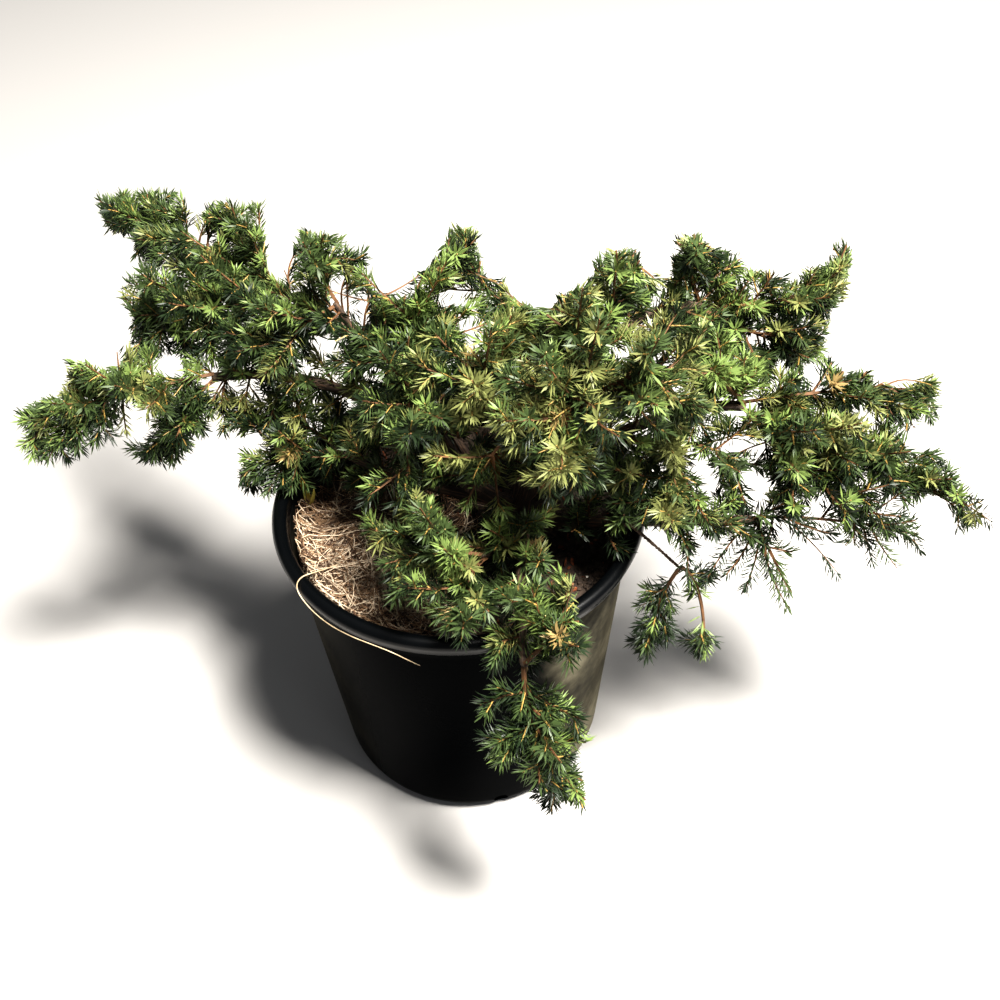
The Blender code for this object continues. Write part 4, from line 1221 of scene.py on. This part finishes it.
def stem_start(mass, siblings, growth):
    """Where a mass's stem meets its limb's tip. Several stems stand evenly round its edge."""
    tip, ahead, radius = growth.tip()
    if len(siblings) == 1:
        return tip + ahead * SEAT_GAP
    first = ahead.orthogonal().normalized()
    second = ahead.cross(first)
    middle = sum((aim(part) for part in siblings), Vector()) / len(siblings)

    def bearing(part):
        aside = aim(part) - middle
        return math.atan2(aside.dot(second), aside.dot(first))

    order = sorted(siblings, key=bearing)
    slots = [math.tau * i / len(order) for i in range(len(order))]
    shift = sum(bearing(part) - slot for part, slot in zip(order, slots)) / len(order)
    turn = shift + slots[order.index(mass)]
    out = first * math.cos(turn) + second * math.sin(turn)
    return tip + ahead * SEAT_GAP + out * (radius - STEM_RADIUS / 2)


def twig_on(stem, station, side, length):
    """A twig out of the middle of one side of a stem."""
    out, ahead = stem.outward(station, side)
    root = stem.middles()[station]
    way = ahead * math.cos(TWIG_LEAN) + out * math.sin(TWIG_LEAN)

    def at(share):
        return root + (way * share + UP * TWIG_LIFT * share * share) * length

    return Shoot(at, TWIG_RADIUS, TWIG_TIP_RADIUS, stem.owner)


def grow_masses(limbs, space):
    """Each mass's shoots, its stem first. Stems are laid before any twig, then twigs in turn."""
    grown = {}
    for owner, mass in enumerate(MASSES):
        siblings = [other for other in MASSES if other.limb == mass.limb]
        start = stem_start(mass, siblings, limbs[mass.limb])
        seat = limbs[mass.limb].tip()[1]
        stem = Shoot(bowed_route(start, mass), STEM_RADIUS, STEM_TIP_RADIUS, owner, seat)
        space.take(stem.points, stem.radii, owner)
        grown[mass.name] = [stem]
    for shoots in grown.values():
        stem = shoots[0]
        space.take(stem.middles(), stem.envelope(), stem.owner)
    for number in range(max(mass.twigs for mass in MASSES)):
        for mass in MASSES:
            if number < mass.twigs:
                add_twig(mass, number, grown[mass.name], space)
    return grown


def add_twig(mass, number, shoots, space):
    """Adds a mass's next twig, on a side of its stem near the wanted place that has room for it."""
    stem = shoots[0]
    chance = random.Random(SEED * 1000 + stem.owner * 50 + number)
    share = TWIGS_FROM + (TWIGS_TO - TWIGS_FROM) * (number + chance.random()) / mass.twigs
    length = mass.spread * MM * (LENGTH_AT_FOOT - LENGTH_LOST_TO_TIP * share)
    length *= chance.uniform(*TWIG_LENGTHS)
    wanted = round(share * (len(stem.sides) - 1))
    stations = [i for i in range(wanted - 1, wanted + 2) if 0 < i < len(stem.sides)]
    places = [(i, side) for i in stations for side in stem.sides[i]]
    chance.shuffle(places)
    for station, side in places:
        twig = twig_on(stem, station, side, length)
        if twig.fits(space):
            space.take(twig.middles(), twig.envelope(), twig.owner)
            stem.sides[station].discard(side)
            shoots.append(twig)
            return


class Wood:
    """A woody line that may bear needles: its points, radii and the directions beside it."""

    def __init__(self, points, radii, tint, bare=0.0, age="twig", vigour=1.0):
        self.points = np.array(points, float)
        self.radii = np.array(radii, float)
        self.tint = tint
        self.bare = bare
        self.age = age
        self.vigour = vigour
        steps = np.linalg.norm(np.diff(self.points, axis=0), axis=1)
        self.marks = np.concatenate([[0], np.cumsum(steps)])
        self.length = self.marks[-1]
        self.ahead, self.first, self.second = carried_directions(self.points)

    def at(self, distance):
        """Place, way ahead and the two ways aside, at each of those distances along the line."""
        found = []
        for values in (self.points, self.ahead, self.first, self.second):
            found.append(np.stack([np.interp(distance, self.marks, axis) for axis in values.T], -1))
        return found


def unit(vectors):
    return vectors / np.linalg.norm(vectors, axis=-1, keepdims=True)


def carried_directions(points):
    """The way ahead at each point, with two ways aside that are carried along without a twist."""
    ahead = unit(np.gradient(points, axis=0))
    aside = Vector(ahead[0]).orthogonal().normalized()
    first = []
    for before, now in zip(np.vstack([ahead[:1], ahead[:-1]]), ahead):
        aside.rotate(Vector(before).rotation_difference(Vector(now)))
        first.append(aside.copy())
    first = np.array(first)
    return ahead, first, np.cross(ahead, first)


def clear_of_all(points, margin):
    """Which points stay clear of the pot, the compost and the ground, within the plant's reach."""
    low, high = (np.array(corner) for corner in CAD_BOUNDS)
    within = ((points > low + 0.2 * MM) & (points < high - 0.2 * MM)).all(axis=1)
    out = np.hypot(points[:, 0], points[:, 1])
    z = points[:, 2]
    outer = np.where(z > POT_HEIGHT - RIM_BAND - margin, RIM_RADIUS, wall_radius(z))
    inner = inner_radius(np.minimum(z, POT_HEIGHT)) - np.where(z > POT_HEIGHT - RIM_BAND, 2 * MM, 0)
    in_wall = (z < POT_HEIGHT + margin) & (out < outer + margin) & (out > inner - margin)
    in_soil = (out <= inner) & (z < SOIL_LEVEL + mat_height(points[:, 0], points[:, 1]) + MM)
    return within & ~in_wall & ~in_soil & (z > margin + MM)


def in_the_photograph(points):
    """Where the camera sees those points, in the photograph's pixels."""
    right, up = np.array(CAMERA_RIGHT), np.array(CAMERA_UP)
    away = np.asarray(points) - np.array(CAMERA_PLACE)
    depth = away @ np.cross(up, right)
    middle = FRAME_PIXELS / 2
    across = middle + FOCAL_PIXELS * (away @ right) / depth
    down = middle - FOCAL_PIXELS * (away @ up) / depth
    return np.stack([across, down], axis=-1)


def against_sky(points, give=0.0):
    """Which points the camera would see against open sky."""
    spots = in_the_photograph(points)
    found = np.zeros(len(spots), bool)
    for across0, down0, across1, down1, radius in SKY + HOLLOWS:
        start, run = np.array((across0, down0)), np.array((across1 - across0, down1 - down0))
        share = np.clip((spots - start) @ run / (run @ run), 0, 1)
        found |= np.linalg.norm(spots - start - share[:, None] * run, axis=1) < radius + give
    return found


def seen_at(spot, depth):
    """The point that the camera sees at that pixel and that depth."""
    right, up = np.array(CAMERA_RIGHT), np.array(CAMERA_UP)
    across, down = (np.array(spot) - FRAME_PIXELS / 2) / FOCAL_PIXELS
    return np.array(CAMERA_PLACE) + (right * across - up * down + np.cross(up, right)) * depth


def cut_back(points, radii):
    """A line without the end of it that stands against the sky."""
    sky = against_sky(points, 3)
    left = len(points)
    while left > 1 and sky[left - 1]:
        left -= 1
    return points[:left], radii[:left]


def finer_line(shoot, steps):
    """A shoot's route again with more points."""
    shares = [i / steps for i in range(steps + 1)]
    radii = [shoot.radii[0] + (shoot.radii[-1] - shoot.radii[0]) * share for share in shares]
    return [shoot.route(share) for share in shares], radii


def deal(dice, greens, tints=TINTS, upward=0.0):
    """A colour for a spray: the darker the more it faces down, as painted shade, and the lighter the more
    it faces up, as painted light.
    """
    weights = np.array(GREENS[greens][: len(tints)], float)
    weights *= np.exp(np.array(PAINTED_LIGHT_BY_FACING[: len(tints)]) * upward)
    return str(dice.choice(tints, p=weights / weights.sum()))


def side_shoot(wood, distance, turn, length, lean, lift, radii, age, dice, greens, tints=TINTS):
    """A straight-ish shoot that leaves a line at that distance along it, or none without room."""
    place, ahead, first, second = (found[0] for found in wood.at(np.array([distance])))
    out = first * math.cos(turn) + second * math.sin(turn)
    way = ahead * math.cos(lean) + out * math.sin(lean)
    shares = np.linspace(0, 1, SPRAY_POINTS)[:, None]
    points = place + (way * shares + np.array(UP) * lift * shares**2) * length
    if not clear_of_all(points[1:], 2 * MM).all() or against_sky(points[-1:], 2)[0]:
        return None
    tint = deal(dice, greens, tints, way[2])
    return Wood(points, np.linspace(*radii, SPRAY_POINTS), tint, SPRAY_BARE, age)


def stations(dice, start, end, gap, least, most, sway):
    """Distances along a shoot, each with a turn round it that is a golden turn on from the last."""
    distance, turn = start, dice.uniform(0, math.tau)
    while distance < end:
        yield distance, turn
        turn += GOLDEN_TURN + dice.normal(0, sway)
        distance += gap * dice.uniform(least, most)


def sprays_on(wood, greens, dice):
    """Side sprays round a shoot, shorter towards its tip."""
    found = []
    start = max(wood.bare, 5 * MM) + SPRAY_GAP * dice.uniform(0, 0.5)
    for distance, turn in stations(dice, start, wood.length - 4 * MM, SPRAY_GAP, 0.8, 1.25, 0.25):
        share = distance / wood.length
        length = SPRAY_LENGTHS[0] + (SPRAY_LENGTHS[1] - SPRAY_LENGTHS[0]) * share
        length = min(length * dice.uniform(0.7, 1.2), wood.length - distance + 5 * MM)
        lean = SPRAY_LEAN + dice.normal(0, 0.12)
        radii = (SPRAY_RADIUS, SPRAY_TIP_RADIUS)
        spray = side_shoot(wood, distance, turn, length, lean, SPRAY_LIFT, radii, "shoot", dice, greens)
        if spray:
            found.append(spray)
    return found


def fillers_on(stem, mass, dice):
    """Twigs that fill a mass between those of the solids, and stay shorter than they do."""
    found = []
    start = BARE_BASE + FILLER_GAP * dice.uniform(0, 1)
    for distance, turn in stations(dice, start, stem.length - 5 * MM, FILLER_GAP, 0.8, 1.2, 0.3):
        reach = LENGTH_AT_FOOT - LENGTH_LOST_TO_TIP * distance / stem.length
        length = mass.spread * MM * reach * FILLER_SHARE * dice.uniform(0.75, 1.1)
        radii = (TWIG_RADIUS, TWIG_TIP_RADIUS)
        lean = TWIG_LEAN + dice.normal(0, 0.15)
        shared = (length, lean, FILLER_LIFT, radii, "twig", dice, mass.greens, LIVING_TINTS)
        twig = side_shoot(stem, distance, turn, *shared)
        if twig:
            found.append(twig)
            found += sprays_on(twig, mass.greens, dice)
    return found


def seen_shoot(line, foot, tip, kind, greens, dice):
    """One of the shoots that stand out in the photograph, out to where it is clear of the pot."""
    spots = in_the_photograph(line.points)
    place = line.points[np.argmin(np.linalg.norm(spots - np.array(foot), axis=1))]
    depth = (place - np.array(CAMERA_PLACE)) @ np.cross(CAMERA_UP, CAMERA_RIGHT)
    end = seen_at(tip, depth)
    while not clear_of_all(end[None], SEEN_CLEARANCE)[0] and depth > LEAST_DEPTH:
        depth -= DEPTH_STEP
        end = seen_at(tip, depth)
    shares = np.linspace(0, 1, SEEN_POINTS)[:, None]
    length = np.linalg.norm(end - place)
    bow = np.array(UP) * SEEN_BOW * length * 4 * shares * (1 - shares)
    sway = dice.normal(0, 0.05, 3) * length * np.sin(math.pi * shares)
    points = place + (end - place) * shares + bow + sway
    blocked = np.flatnonzero(~clear_of_all(points, SEEN_CLEARANCE)[2:])
    points = points[: blocked[0] + 2] if len(blocked) else points
    if len(points) < 4:
        return []
    radii = np.linspace(TWIG_RADIUS, SPRAY_TIP_RADIUS, len(points))
    bare = {"brush": 2 * MM, "tuft": 0.45 * length, "wisp": 5 * MM}[kind]
    vigour = WISP_VIGOUR if kind == "wisp" else 1
    shoot = Wood(points, radii, deal(dice, greens, LIVING_TINTS), bare, "twig", vigour)
    return [shoot] if kind == "wisp" else [shoot] + sprays_on(shoot, greens, dice)


def limb_wood(growth):
    """A limb's own line, for the shoots that leave it."""
    shares = np.linspace(0, 1, LIMB_STEPS + 1)
    return Wood([growth.route(s) for s in shares], [growth.radius(s) for s in shares], "leaf")


def spurs_on(line, greens, dice):
    """Short leafy spurs on a limb's outer part."""
    found = []
    distance = line.length * SPURS_FROM
    turn = dice.uniform(0, math.tau)
    while distance < line.length - 3 * MM:
        length = dice.uniform(*SPUR_LENGTHS)
        lean = SPUR_LEAN + dice.normal(0, 0.15)
        radii = (TWIG_RADIUS, TWIG_TIP_RADIUS)
        shared = (length, lean, SPUR_LIFT, radii, "twig", dice, greens, LIVING_TINTS)
        for _ in range(SPUR_TRIES):
            turn += GOLDEN_TURN
            spur = side_shoot(line, distance, turn, *shared)
            if spur:
                found.append(spur)
                found += sprays_on(spur, greens, dice)
                break
        distance += SPUR_GAP * dice.uniform(0.8, 1.3)
    return found


@lru_cache
def grown_plant():
    """The limbs, and every shoot that bears needles."""
    limbs = {"trunk": Growth(TRUNK, None)}
    for limb in LIMBS:
        limbs[limb.name] = Growth(limb, limbs[limb.parent])
    space = Space()
    for number, growth in enumerate(limbs.values()):
        shares = [i / 40 for i in range(1, 40)]
        points = [growth.route(share) for share in shares]
        space.take(points, [growth.radius(share) for share in shares], -1 - number)
    grown = grow_masses(limbs, space)
    dice = np.random.default_rng(SEED + 2)
    woods = []
    lines = {name: limb_wood(growth) for name, growth in limbs.items()}
    greens = {name: "leafy" for name in limbs}
    greens |= {mass.limb: mass.greens for mass in reversed(MASSES)}
    greens |= {mass.name: mass.greens for mass in MASSES}
    for mass in MASSES:
        for rank, shoot in enumerate(grown[mass.name]):
            points, radii = cut_back(*finer_line(shoot, TWIG_STEPS if rank else STEM_STEPS))
            if len(points) < 3:
                continue
            tint = deal(dice, mass.greens, LIVING_TINTS)
            bare, age = (TWIG_BARE, "twig") if rank else (BARE_BASE, "stem")
            wood = Wood(points, radii, tint, bare, age)
            woods.append(wood)
            if rank == 0:
                lines[mass.name] = wood
            if mass.name in SPARSE_MASSES:
                continue
            woods += sprays_on(wood, mass.greens, dice)
            if rank == 0:
                woods += fillers_on(wood, mass, dice)
    for name in limbs:
        if name not in BARE_LIMBS:
            woods += spurs_on(lines[name], greens[name], dice)
    for name, kind, *ends in SEEN_SHOOTS:
        for end in ends:
            woods += seen_shoot(lines[name], end[:2], end[2:], kind, greens[name], dice)
    return limbs, woods


def limb_line(growth):
    """A limb from the heart of its parent to just past its tip, swollen where it branches off."""
    limb = growth.limb
    if limb.parent is None:
        points = [growth.points[0] - UP * 3 * MM] + list(growth.points)
        return points, [growth.radii[0] * 1.08] + list(growth.radii)
    thin = HANGING_LIMB_SHARE if limb.name == "hanging_limb" else 1
    shares = [i / LIMB_STEPS for i in range(LIMB_STEPS + 1)]
    points = [growth.route(share) for share in shares]
    radii = []
    for share, point in zip(shares, points):
        swell = 1 + FORK_SWELL * math.exp(-(point - points[0]).length / FORK_REACH)
        radii.append(growth.radius(share) * swell * thin)
    tip, ahead, radius = growth.tip()
    points.append(tip + ahead * 2 * MM)
    radii.append(radius * 0.72)
    return points, radii


def along_limb(limbs, fineness):
    """Points down the middle of every limb, each with its distance along and its way ahead."""
    middles = []
    for growth in limbs.values():
        route = growth.route
        count = max(4, round((route(1) - route(0)).length / fineness))
        distance = 0
        for i in range(count + 1):
            middles.append((route(i / count), distance, direction(route, i / count)))
            distance += fineness
    return middles


def make_bark(settings):
    """The trunk and boughs as one skin, with peeling strips along the grain."""
    limbs, _ = grown_plant()
    lines = [limb_line(growth) for growth in limbs.values()]
    obj = strands("bark_body", [([tuple(p) for p in points], radii) for points, radii in lines], sides=3)
    apply_modifier(obj, "REMESH", mode="VOXEL", voxel_size=settings.voxel)
    apply_modifier(obj, "SMOOTH", factor=0.5, iterations=3)
    middles = along_limb(limbs, 2 * MM)
    tree = KDTree(len(middles))
    for i, (point, _, _) in enumerate(middles):
        tree.insert(point, i)
    tree.balance()
    mesh = obj.data
    grain = np.empty((len(mesh.vertices), 3), np.float32)
    normals = [vertex.normal.copy() for vertex in mesh.vertices]
    for number, vertex in enumerate(mesh.vertices):
        _, near, _ = tree.find(vertex.co)
        middle, distance, ahead = middles[near]
        offset = vertex.co - middle
        distance += offset.dot(ahead)
        out = offset - ahead * offset.dot(ahead)
        first = ahead.orthogonal().normalized()
        angle = math.atan2(out.dot(ahead.cross(first)), out.dot(first))
        place = Vector((math.cos(angle) * 3.2, math.sin(angle) * 3.2, distance / (14 * MM)))
        grain[number] = place
        strip = noise.noise(place) + 0.5 * noise.noise(place * 2.3 + Vector((5, 1, 8)))
        vertex.co += normals[number] * settings.relief * strip
    kept = mesh.attributes.new("grain", "FLOAT_VECTOR", "POINT")
    kept.data.foreach_set("vector", grain.ravel())
    only(obj)
    bpy.ops.object.shade_smooth()
    piece(obj, "bark_skin", peeling_bark(settings), ["trunk", *limb_names()])


def limb_names():
    return [limb.name for limb in LIMBS]


def mass_nodes():
    return [mass.name + "_foliage" for mass in MASSES]


def make_twigs(settings):
    """The woody lines inside the foliage: last year's brown wood and this year's yellow shoots."""
    _, woods = grown_plant()
    twig, shoot = settings.twig, settings.shoot
    brown = crumbly("twig_wood", dimmed(twig, 0.5), twig, 4 * MM, 0.8, 0.15 * MM)
    yellow = crumbly("shoot_wood", dimmed(shoot, 0.6), shoot, 4 * MM, 0.6, 0.1 * MM)
    for name, ages, material in (
        ("twigs_brown", ("stem", "twig"), brown),
        ("twigs_young", ("shoot",), yellow),
    ):
        lines = [(wood.points, wood.radii) for wood in woods if wood.age in ages]
        piece(strands(name, lines), name, material, mass_nodes())


def needle_form():
    """One needle, a unit long and wide: an awl, widest at its middle, flat above, keeled below."""
    obj = fresh(bpy.ops.mesh.primitive_cone_add, vertices=3, radius1=1, radius2=0, depth=2)
    edit(obj)
    bpy.ops.mesh.select_all(action="DESELECT")
    leave_edit()
    for face in obj.data.polygons:
        face.select = face.normal.z < -0.9
    bpy.ops.object.mode_set(mode="EDIT")
    bpy.ops.mesh.select_mode(type="FACE")
    bpy.ops.mesh.poke()
    bpy.ops.mesh.select_mode(type="VERT")
    leave_edit()
    widest = iter(NEEDLE_WAIST)
    for vertex in obj.data.vertices:
        if vertex.co.z > 0.5:
            vertex.co = (0, NEEDLE_CURVE, 1)
        elif vertex.co.to_2d().length > 0.5:
            vertex.co = next(widest)
        else:
            vertex.co = (0, 0, 0)
    edit(obj)
    bpy.ops.mesh.normals_make_consistent(inside=False)
    leave_edit()
    return form_of(obj)


def whorls_on(wood, settings, dice):
    """Where the needles of a shoot stand: root, way, way across, and length, one row each."""
    tip = wood.length - BUD_LENGTH
    gap = settings.gap / wood.vigour**2
    distances = np.arange(wood.bare + gap * dice.uniform(0.2, 0.8), tip, gap)
    if not len(distances):
        distances = np.array([tip / 2])
    count = len(distances)
    per = np.full(count, NEEDLES_A_WHORL)
    per[-1] = BUD_NEEDLES
    whorl = np.repeat(np.arange(count), per)
    place, ahead, first, second = wood.at(distances[whorl])
    order = np.concatenate([np.arange(n) / n for n in per])
    half_turn = math.pi / NEEDLES_A_WHORL
    turn = math.tau * order + whorl * half_turn + dice.normal(0, 0.22, len(whorl))
    young = np.clip(1 - (wood.length - distances[whorl]) / YOUNG_END, 0, 1)
    lean = NEEDLE_LEAN - YOUNG_CLOSER * young + dice.normal(0, 0.12, len(whorl))
    out = first * np.cos(turn)[:, None] + second * np.sin(turn)[:, None]
    way = unit(ahead) * np.cos(lean)[:, None] + out * np.sin(lean)[:, None]
    across = unit(np.cross(ahead, out))
    length = settings.length * wood.vigour * (1 - YOUNG_SHORTER * young)
    length *= dice.uniform(0.82, 1.12, len(whorl))
    root = place + out * np.interp(distances[whorl], wood.marks, wood.radii)[:, None] * 0.5
    return root, way, across, length


def make_needles(settings):
    """Every needle, dealt by spray into one piece or more for each colour."""
    _, woods = grown_plant()
    dice = np.random.default_rng(SEED + 3)
    dealt = {tint: [] for tint in TINTS}
    for wood in woods:
        dealt[wood.tint].append(whorls_on(wood, settings, dice))
    form = needle_form()
    limit = TRIANGLE_LIMIT // len(form[1])
    for tint, rows in dealt.items():
        root, way, across, length = (np.concatenate(column) for column in zip(*rows))
        ends = root + way * length[:, None]
        middles = (root + ends) / 2
        kept = clear_of_all(ends, NEEDLE_CLEARANCE) & clear_of_all(middles, NEEDLE_CLEARANCE)
        kept &= ~against_sky(ends, dice.normal(0, 1.5, len(ends)))
        root, way, across, length = root[kept], way[kept], across[kept], length[kept]
        normal = np.cross(way, across)
        width = settings.width * dice.uniform(0.85, 1.1, len(root))[:, None]
        turns = np.stack([across * width, normal * width, way * length[:, None]], axis=2)
        material = waxy_needle(f"waxy_needle_{tint}", getattr(settings, tint))
        for part in range(math.ceil(len(root) / limit)):
            chosen = slice(part * limit, (part + 1) * limit)
            points, faces = copies(form, turns[chosen], root[chosen])
            name = f"needles_{tint}_{part + 1}"
            piece(mesh_object(name, points, faces), name, material, mass_nodes())


def area_light(name, place, target, power, width, colour):
    light = bpy.data.lights.new(name, "AREA")
    light.energy, light.size, light.color = power, width, colour
    obj = new_object(name, light)
    obj.location = place
    obj.rotation_euler = (Vector(target) - Vector(place)).to_track_quat("-Z", "Y").to_euler()


def make_stage(settings):
    """Plain pale floor, a soft key light, a weak fill, and the photograph's camera."""
    floor = fresh(bpy.ops.mesh.primitive_plane_add, size=12)
    floor.name = "floor"
    paper, _, shader = new_material("matt_paper_floor", IOR=1.4, Roughness=0.9)
    shader.inputs["Base Color"].default_value = settings.floor
    floor.data.materials.append(paper)
    floor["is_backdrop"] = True
    area_light("key_light", (0.8, -0.5, 2.4), (0.0, 0.0, 0.25), settings.key, 0.6, (1, 0.97, 0.92))
    area_light("fill_light", (1.3, -1.1, 1.2), (0.0, 0.0, 0.2), settings.fill, 1.2, (0.9, 0.95, 1))
    world = bpy.data.worlds.new("studio_air")
    world.use_nodes = True
    sky = world.node_tree.nodes["Background"]
    sky.inputs["Color"].default_value = (0.93, 0.96, 1, 1)
    sky.inputs["Strength"].default_value = settings.sky
    bpy.context.scene.world = world
    bpy.context.scene.view_settings.view_transform = "Standard"
    bpy.context.scene.view_settings.look = "Medium High Contrast"

    data = bpy.data.cameras.new("photo_camera")
    data.sensor_width = SENSOR_WIDTH
    data.lens = SENSOR_WIDTH * FOCAL_PIXELS / FRAME_PIXELS
    data.clip_start, data.clip_end = 0.01, 50
    camera = new_object("photo_camera", data)
    right, up = Vector(CAMERA_RIGHT), Vector(CAMERA_UP)
    turn = Matrix((right, up, right.cross(up))).transposed()
    camera.matrix_world = Matrix.Translation(CAMERA_PLACE) @ turn.to_4x4()
    bpy.context.scene.camera = camera


class JUNIPER_OT_stage(bpy.types.Operator):
    """Adds the floor, the lights and the camera"""

    bl_idname = "juniper.stage"
    bl_label = "Stage"

    def execute(self, context):
        make_stage(context.scene.juniper_stage)
        return {"FINISHED"}


class JUNIPER_OT_pot(bpy.types.Operator):
    """Models the black nursery pot"""

    bl_idname = "juniper.pot"
    bl_label = "Pot"

    def execute(self, context):
        make_pot(context.scene.juniper_pot)
        return {"FINISHED"}


class JUNIPER_OT_compost(bpy.types.Operator):
    """Fills the pot with compost, crumbs and flakes of bark"""

    bl_idname = "juniper.compost"
    bl_label = "Compost"

    def execute(self, context):
        make_compost(context.scene.juniper_compost)
        return {"FINISHED"}


class JUNIPER_OT_grass(bpy.types.Operator):
    """Lays the mat of dry grass on the compost"""

    bl_idname = "juniper.grass"
    bl_label = "Dry grass"

    def execute(self, context):
        make_grass(context.scene.juniper_grass)
        return {"FINISHED"}


class JUNIPER_OT_litter(bpy.types.Operator):
    """Drops leaves, straws and a pebble into the pot"""

    bl_idname = "juniper.litter"
    bl_label = "Litter"

    def execute(self, context):
        make_litter()
        return {"FINISHED"}


class JUNIPER_OT_bark(bpy.types.Operator):
    """Models the trunk and the boughs as one skin of peeling bark"""

    bl_idname = "juniper.bark"
    bl_label = "Trunk and boughs"

    def execute(self, context):
        make_bark(context.scene.juniper_bark)
        return {"FINISHED"}


class JUNIPER_OT_twigs(bpy.types.Operator):
    """Grows the twigs and the young shoots"""

    bl_idname = "juniper.twigs"
    bl_label = "Twigs"

    def execute(self, context):
        make_twigs(context.scene.juniper_bark)
        return {"FINISHED"}


class JUNIPER_OT_needles(bpy.types.Operator):
    """Sets the needles on every shoot"""

    bl_idname = "juniper.needles"
    bl_label = "Needles"

    def execute(self, context):
        make_needles(context.scene.juniper_needles)
        return {"FINISHED"}


MAKERS = (
    JUNIPER_OT_stage,
    JUNIPER_OT_pot,
    JUNIPER_OT_compost,
    JUNIPER_OT_grass,
    JUNIPER_OT_litter,
    JUNIPER_OT_bark,
    JUNIPER_OT_twigs,
    JUNIPER_OT_needles,
)
SETTINGS = {
    "juniper_pot": PotSettings,
    "juniper_compost": CompostSettings,
    "juniper_grass": GrassSettings,
    "juniper_bark": BarkSettings,
    "juniper_needles": NeedleSettings,
    "juniper_stage": StageSettings,
}


class JUNIPER_PT_panel(bpy.types.Panel):
    """Lists the pieces of the potted juniper with their sizes and colours"""

    bl_label = "Potted Juniper"
    bl_idname = "JUNIPER_PT_panel"
    bl_space_type = "VIEW_3D"
    bl_region_type = "UI"
    bl_category = "Juniper"

    def draw(self, context):
        for maker in MAKERS:
            self.layout.operator(maker.bl_idname)
        for name, settings in SETTINGS.items():
            box = self.layout.box()
            box.label(text=settings.__doc__)
            for value in settings.__annotations__:
                box.prop(getattr(context.scene, name), value)


def register():
    for made in (*SETTINGS.values(), *MAKERS, JUNIPER_PT_panel):
        bpy.utils.register_class(made)
    for name, settings in SETTINGS.items():
        setattr(bpy.types.Scene, name, PointerProperty(type=settings))


def unregister():
    for name in SETTINGS:
        delattr(bpy.types.Scene, name)
    for made in reversed((*SETTINGS.values(), *MAKERS, JUNIPER_PT_panel)):
        bpy.utils.unregister_class(made)


def main():
    register()
    for maker in MAKERS:
        group, name = maker.bl_idname.split(".")
        getattr(getattr(bpy.ops, group), name)()
    boxes = {"cad": CAD_BOUNDS, "visual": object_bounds()}
    {name: [list(corner) for corner in box] for name, box in boxes.items()}


if __name__ == "__main__":
    main()
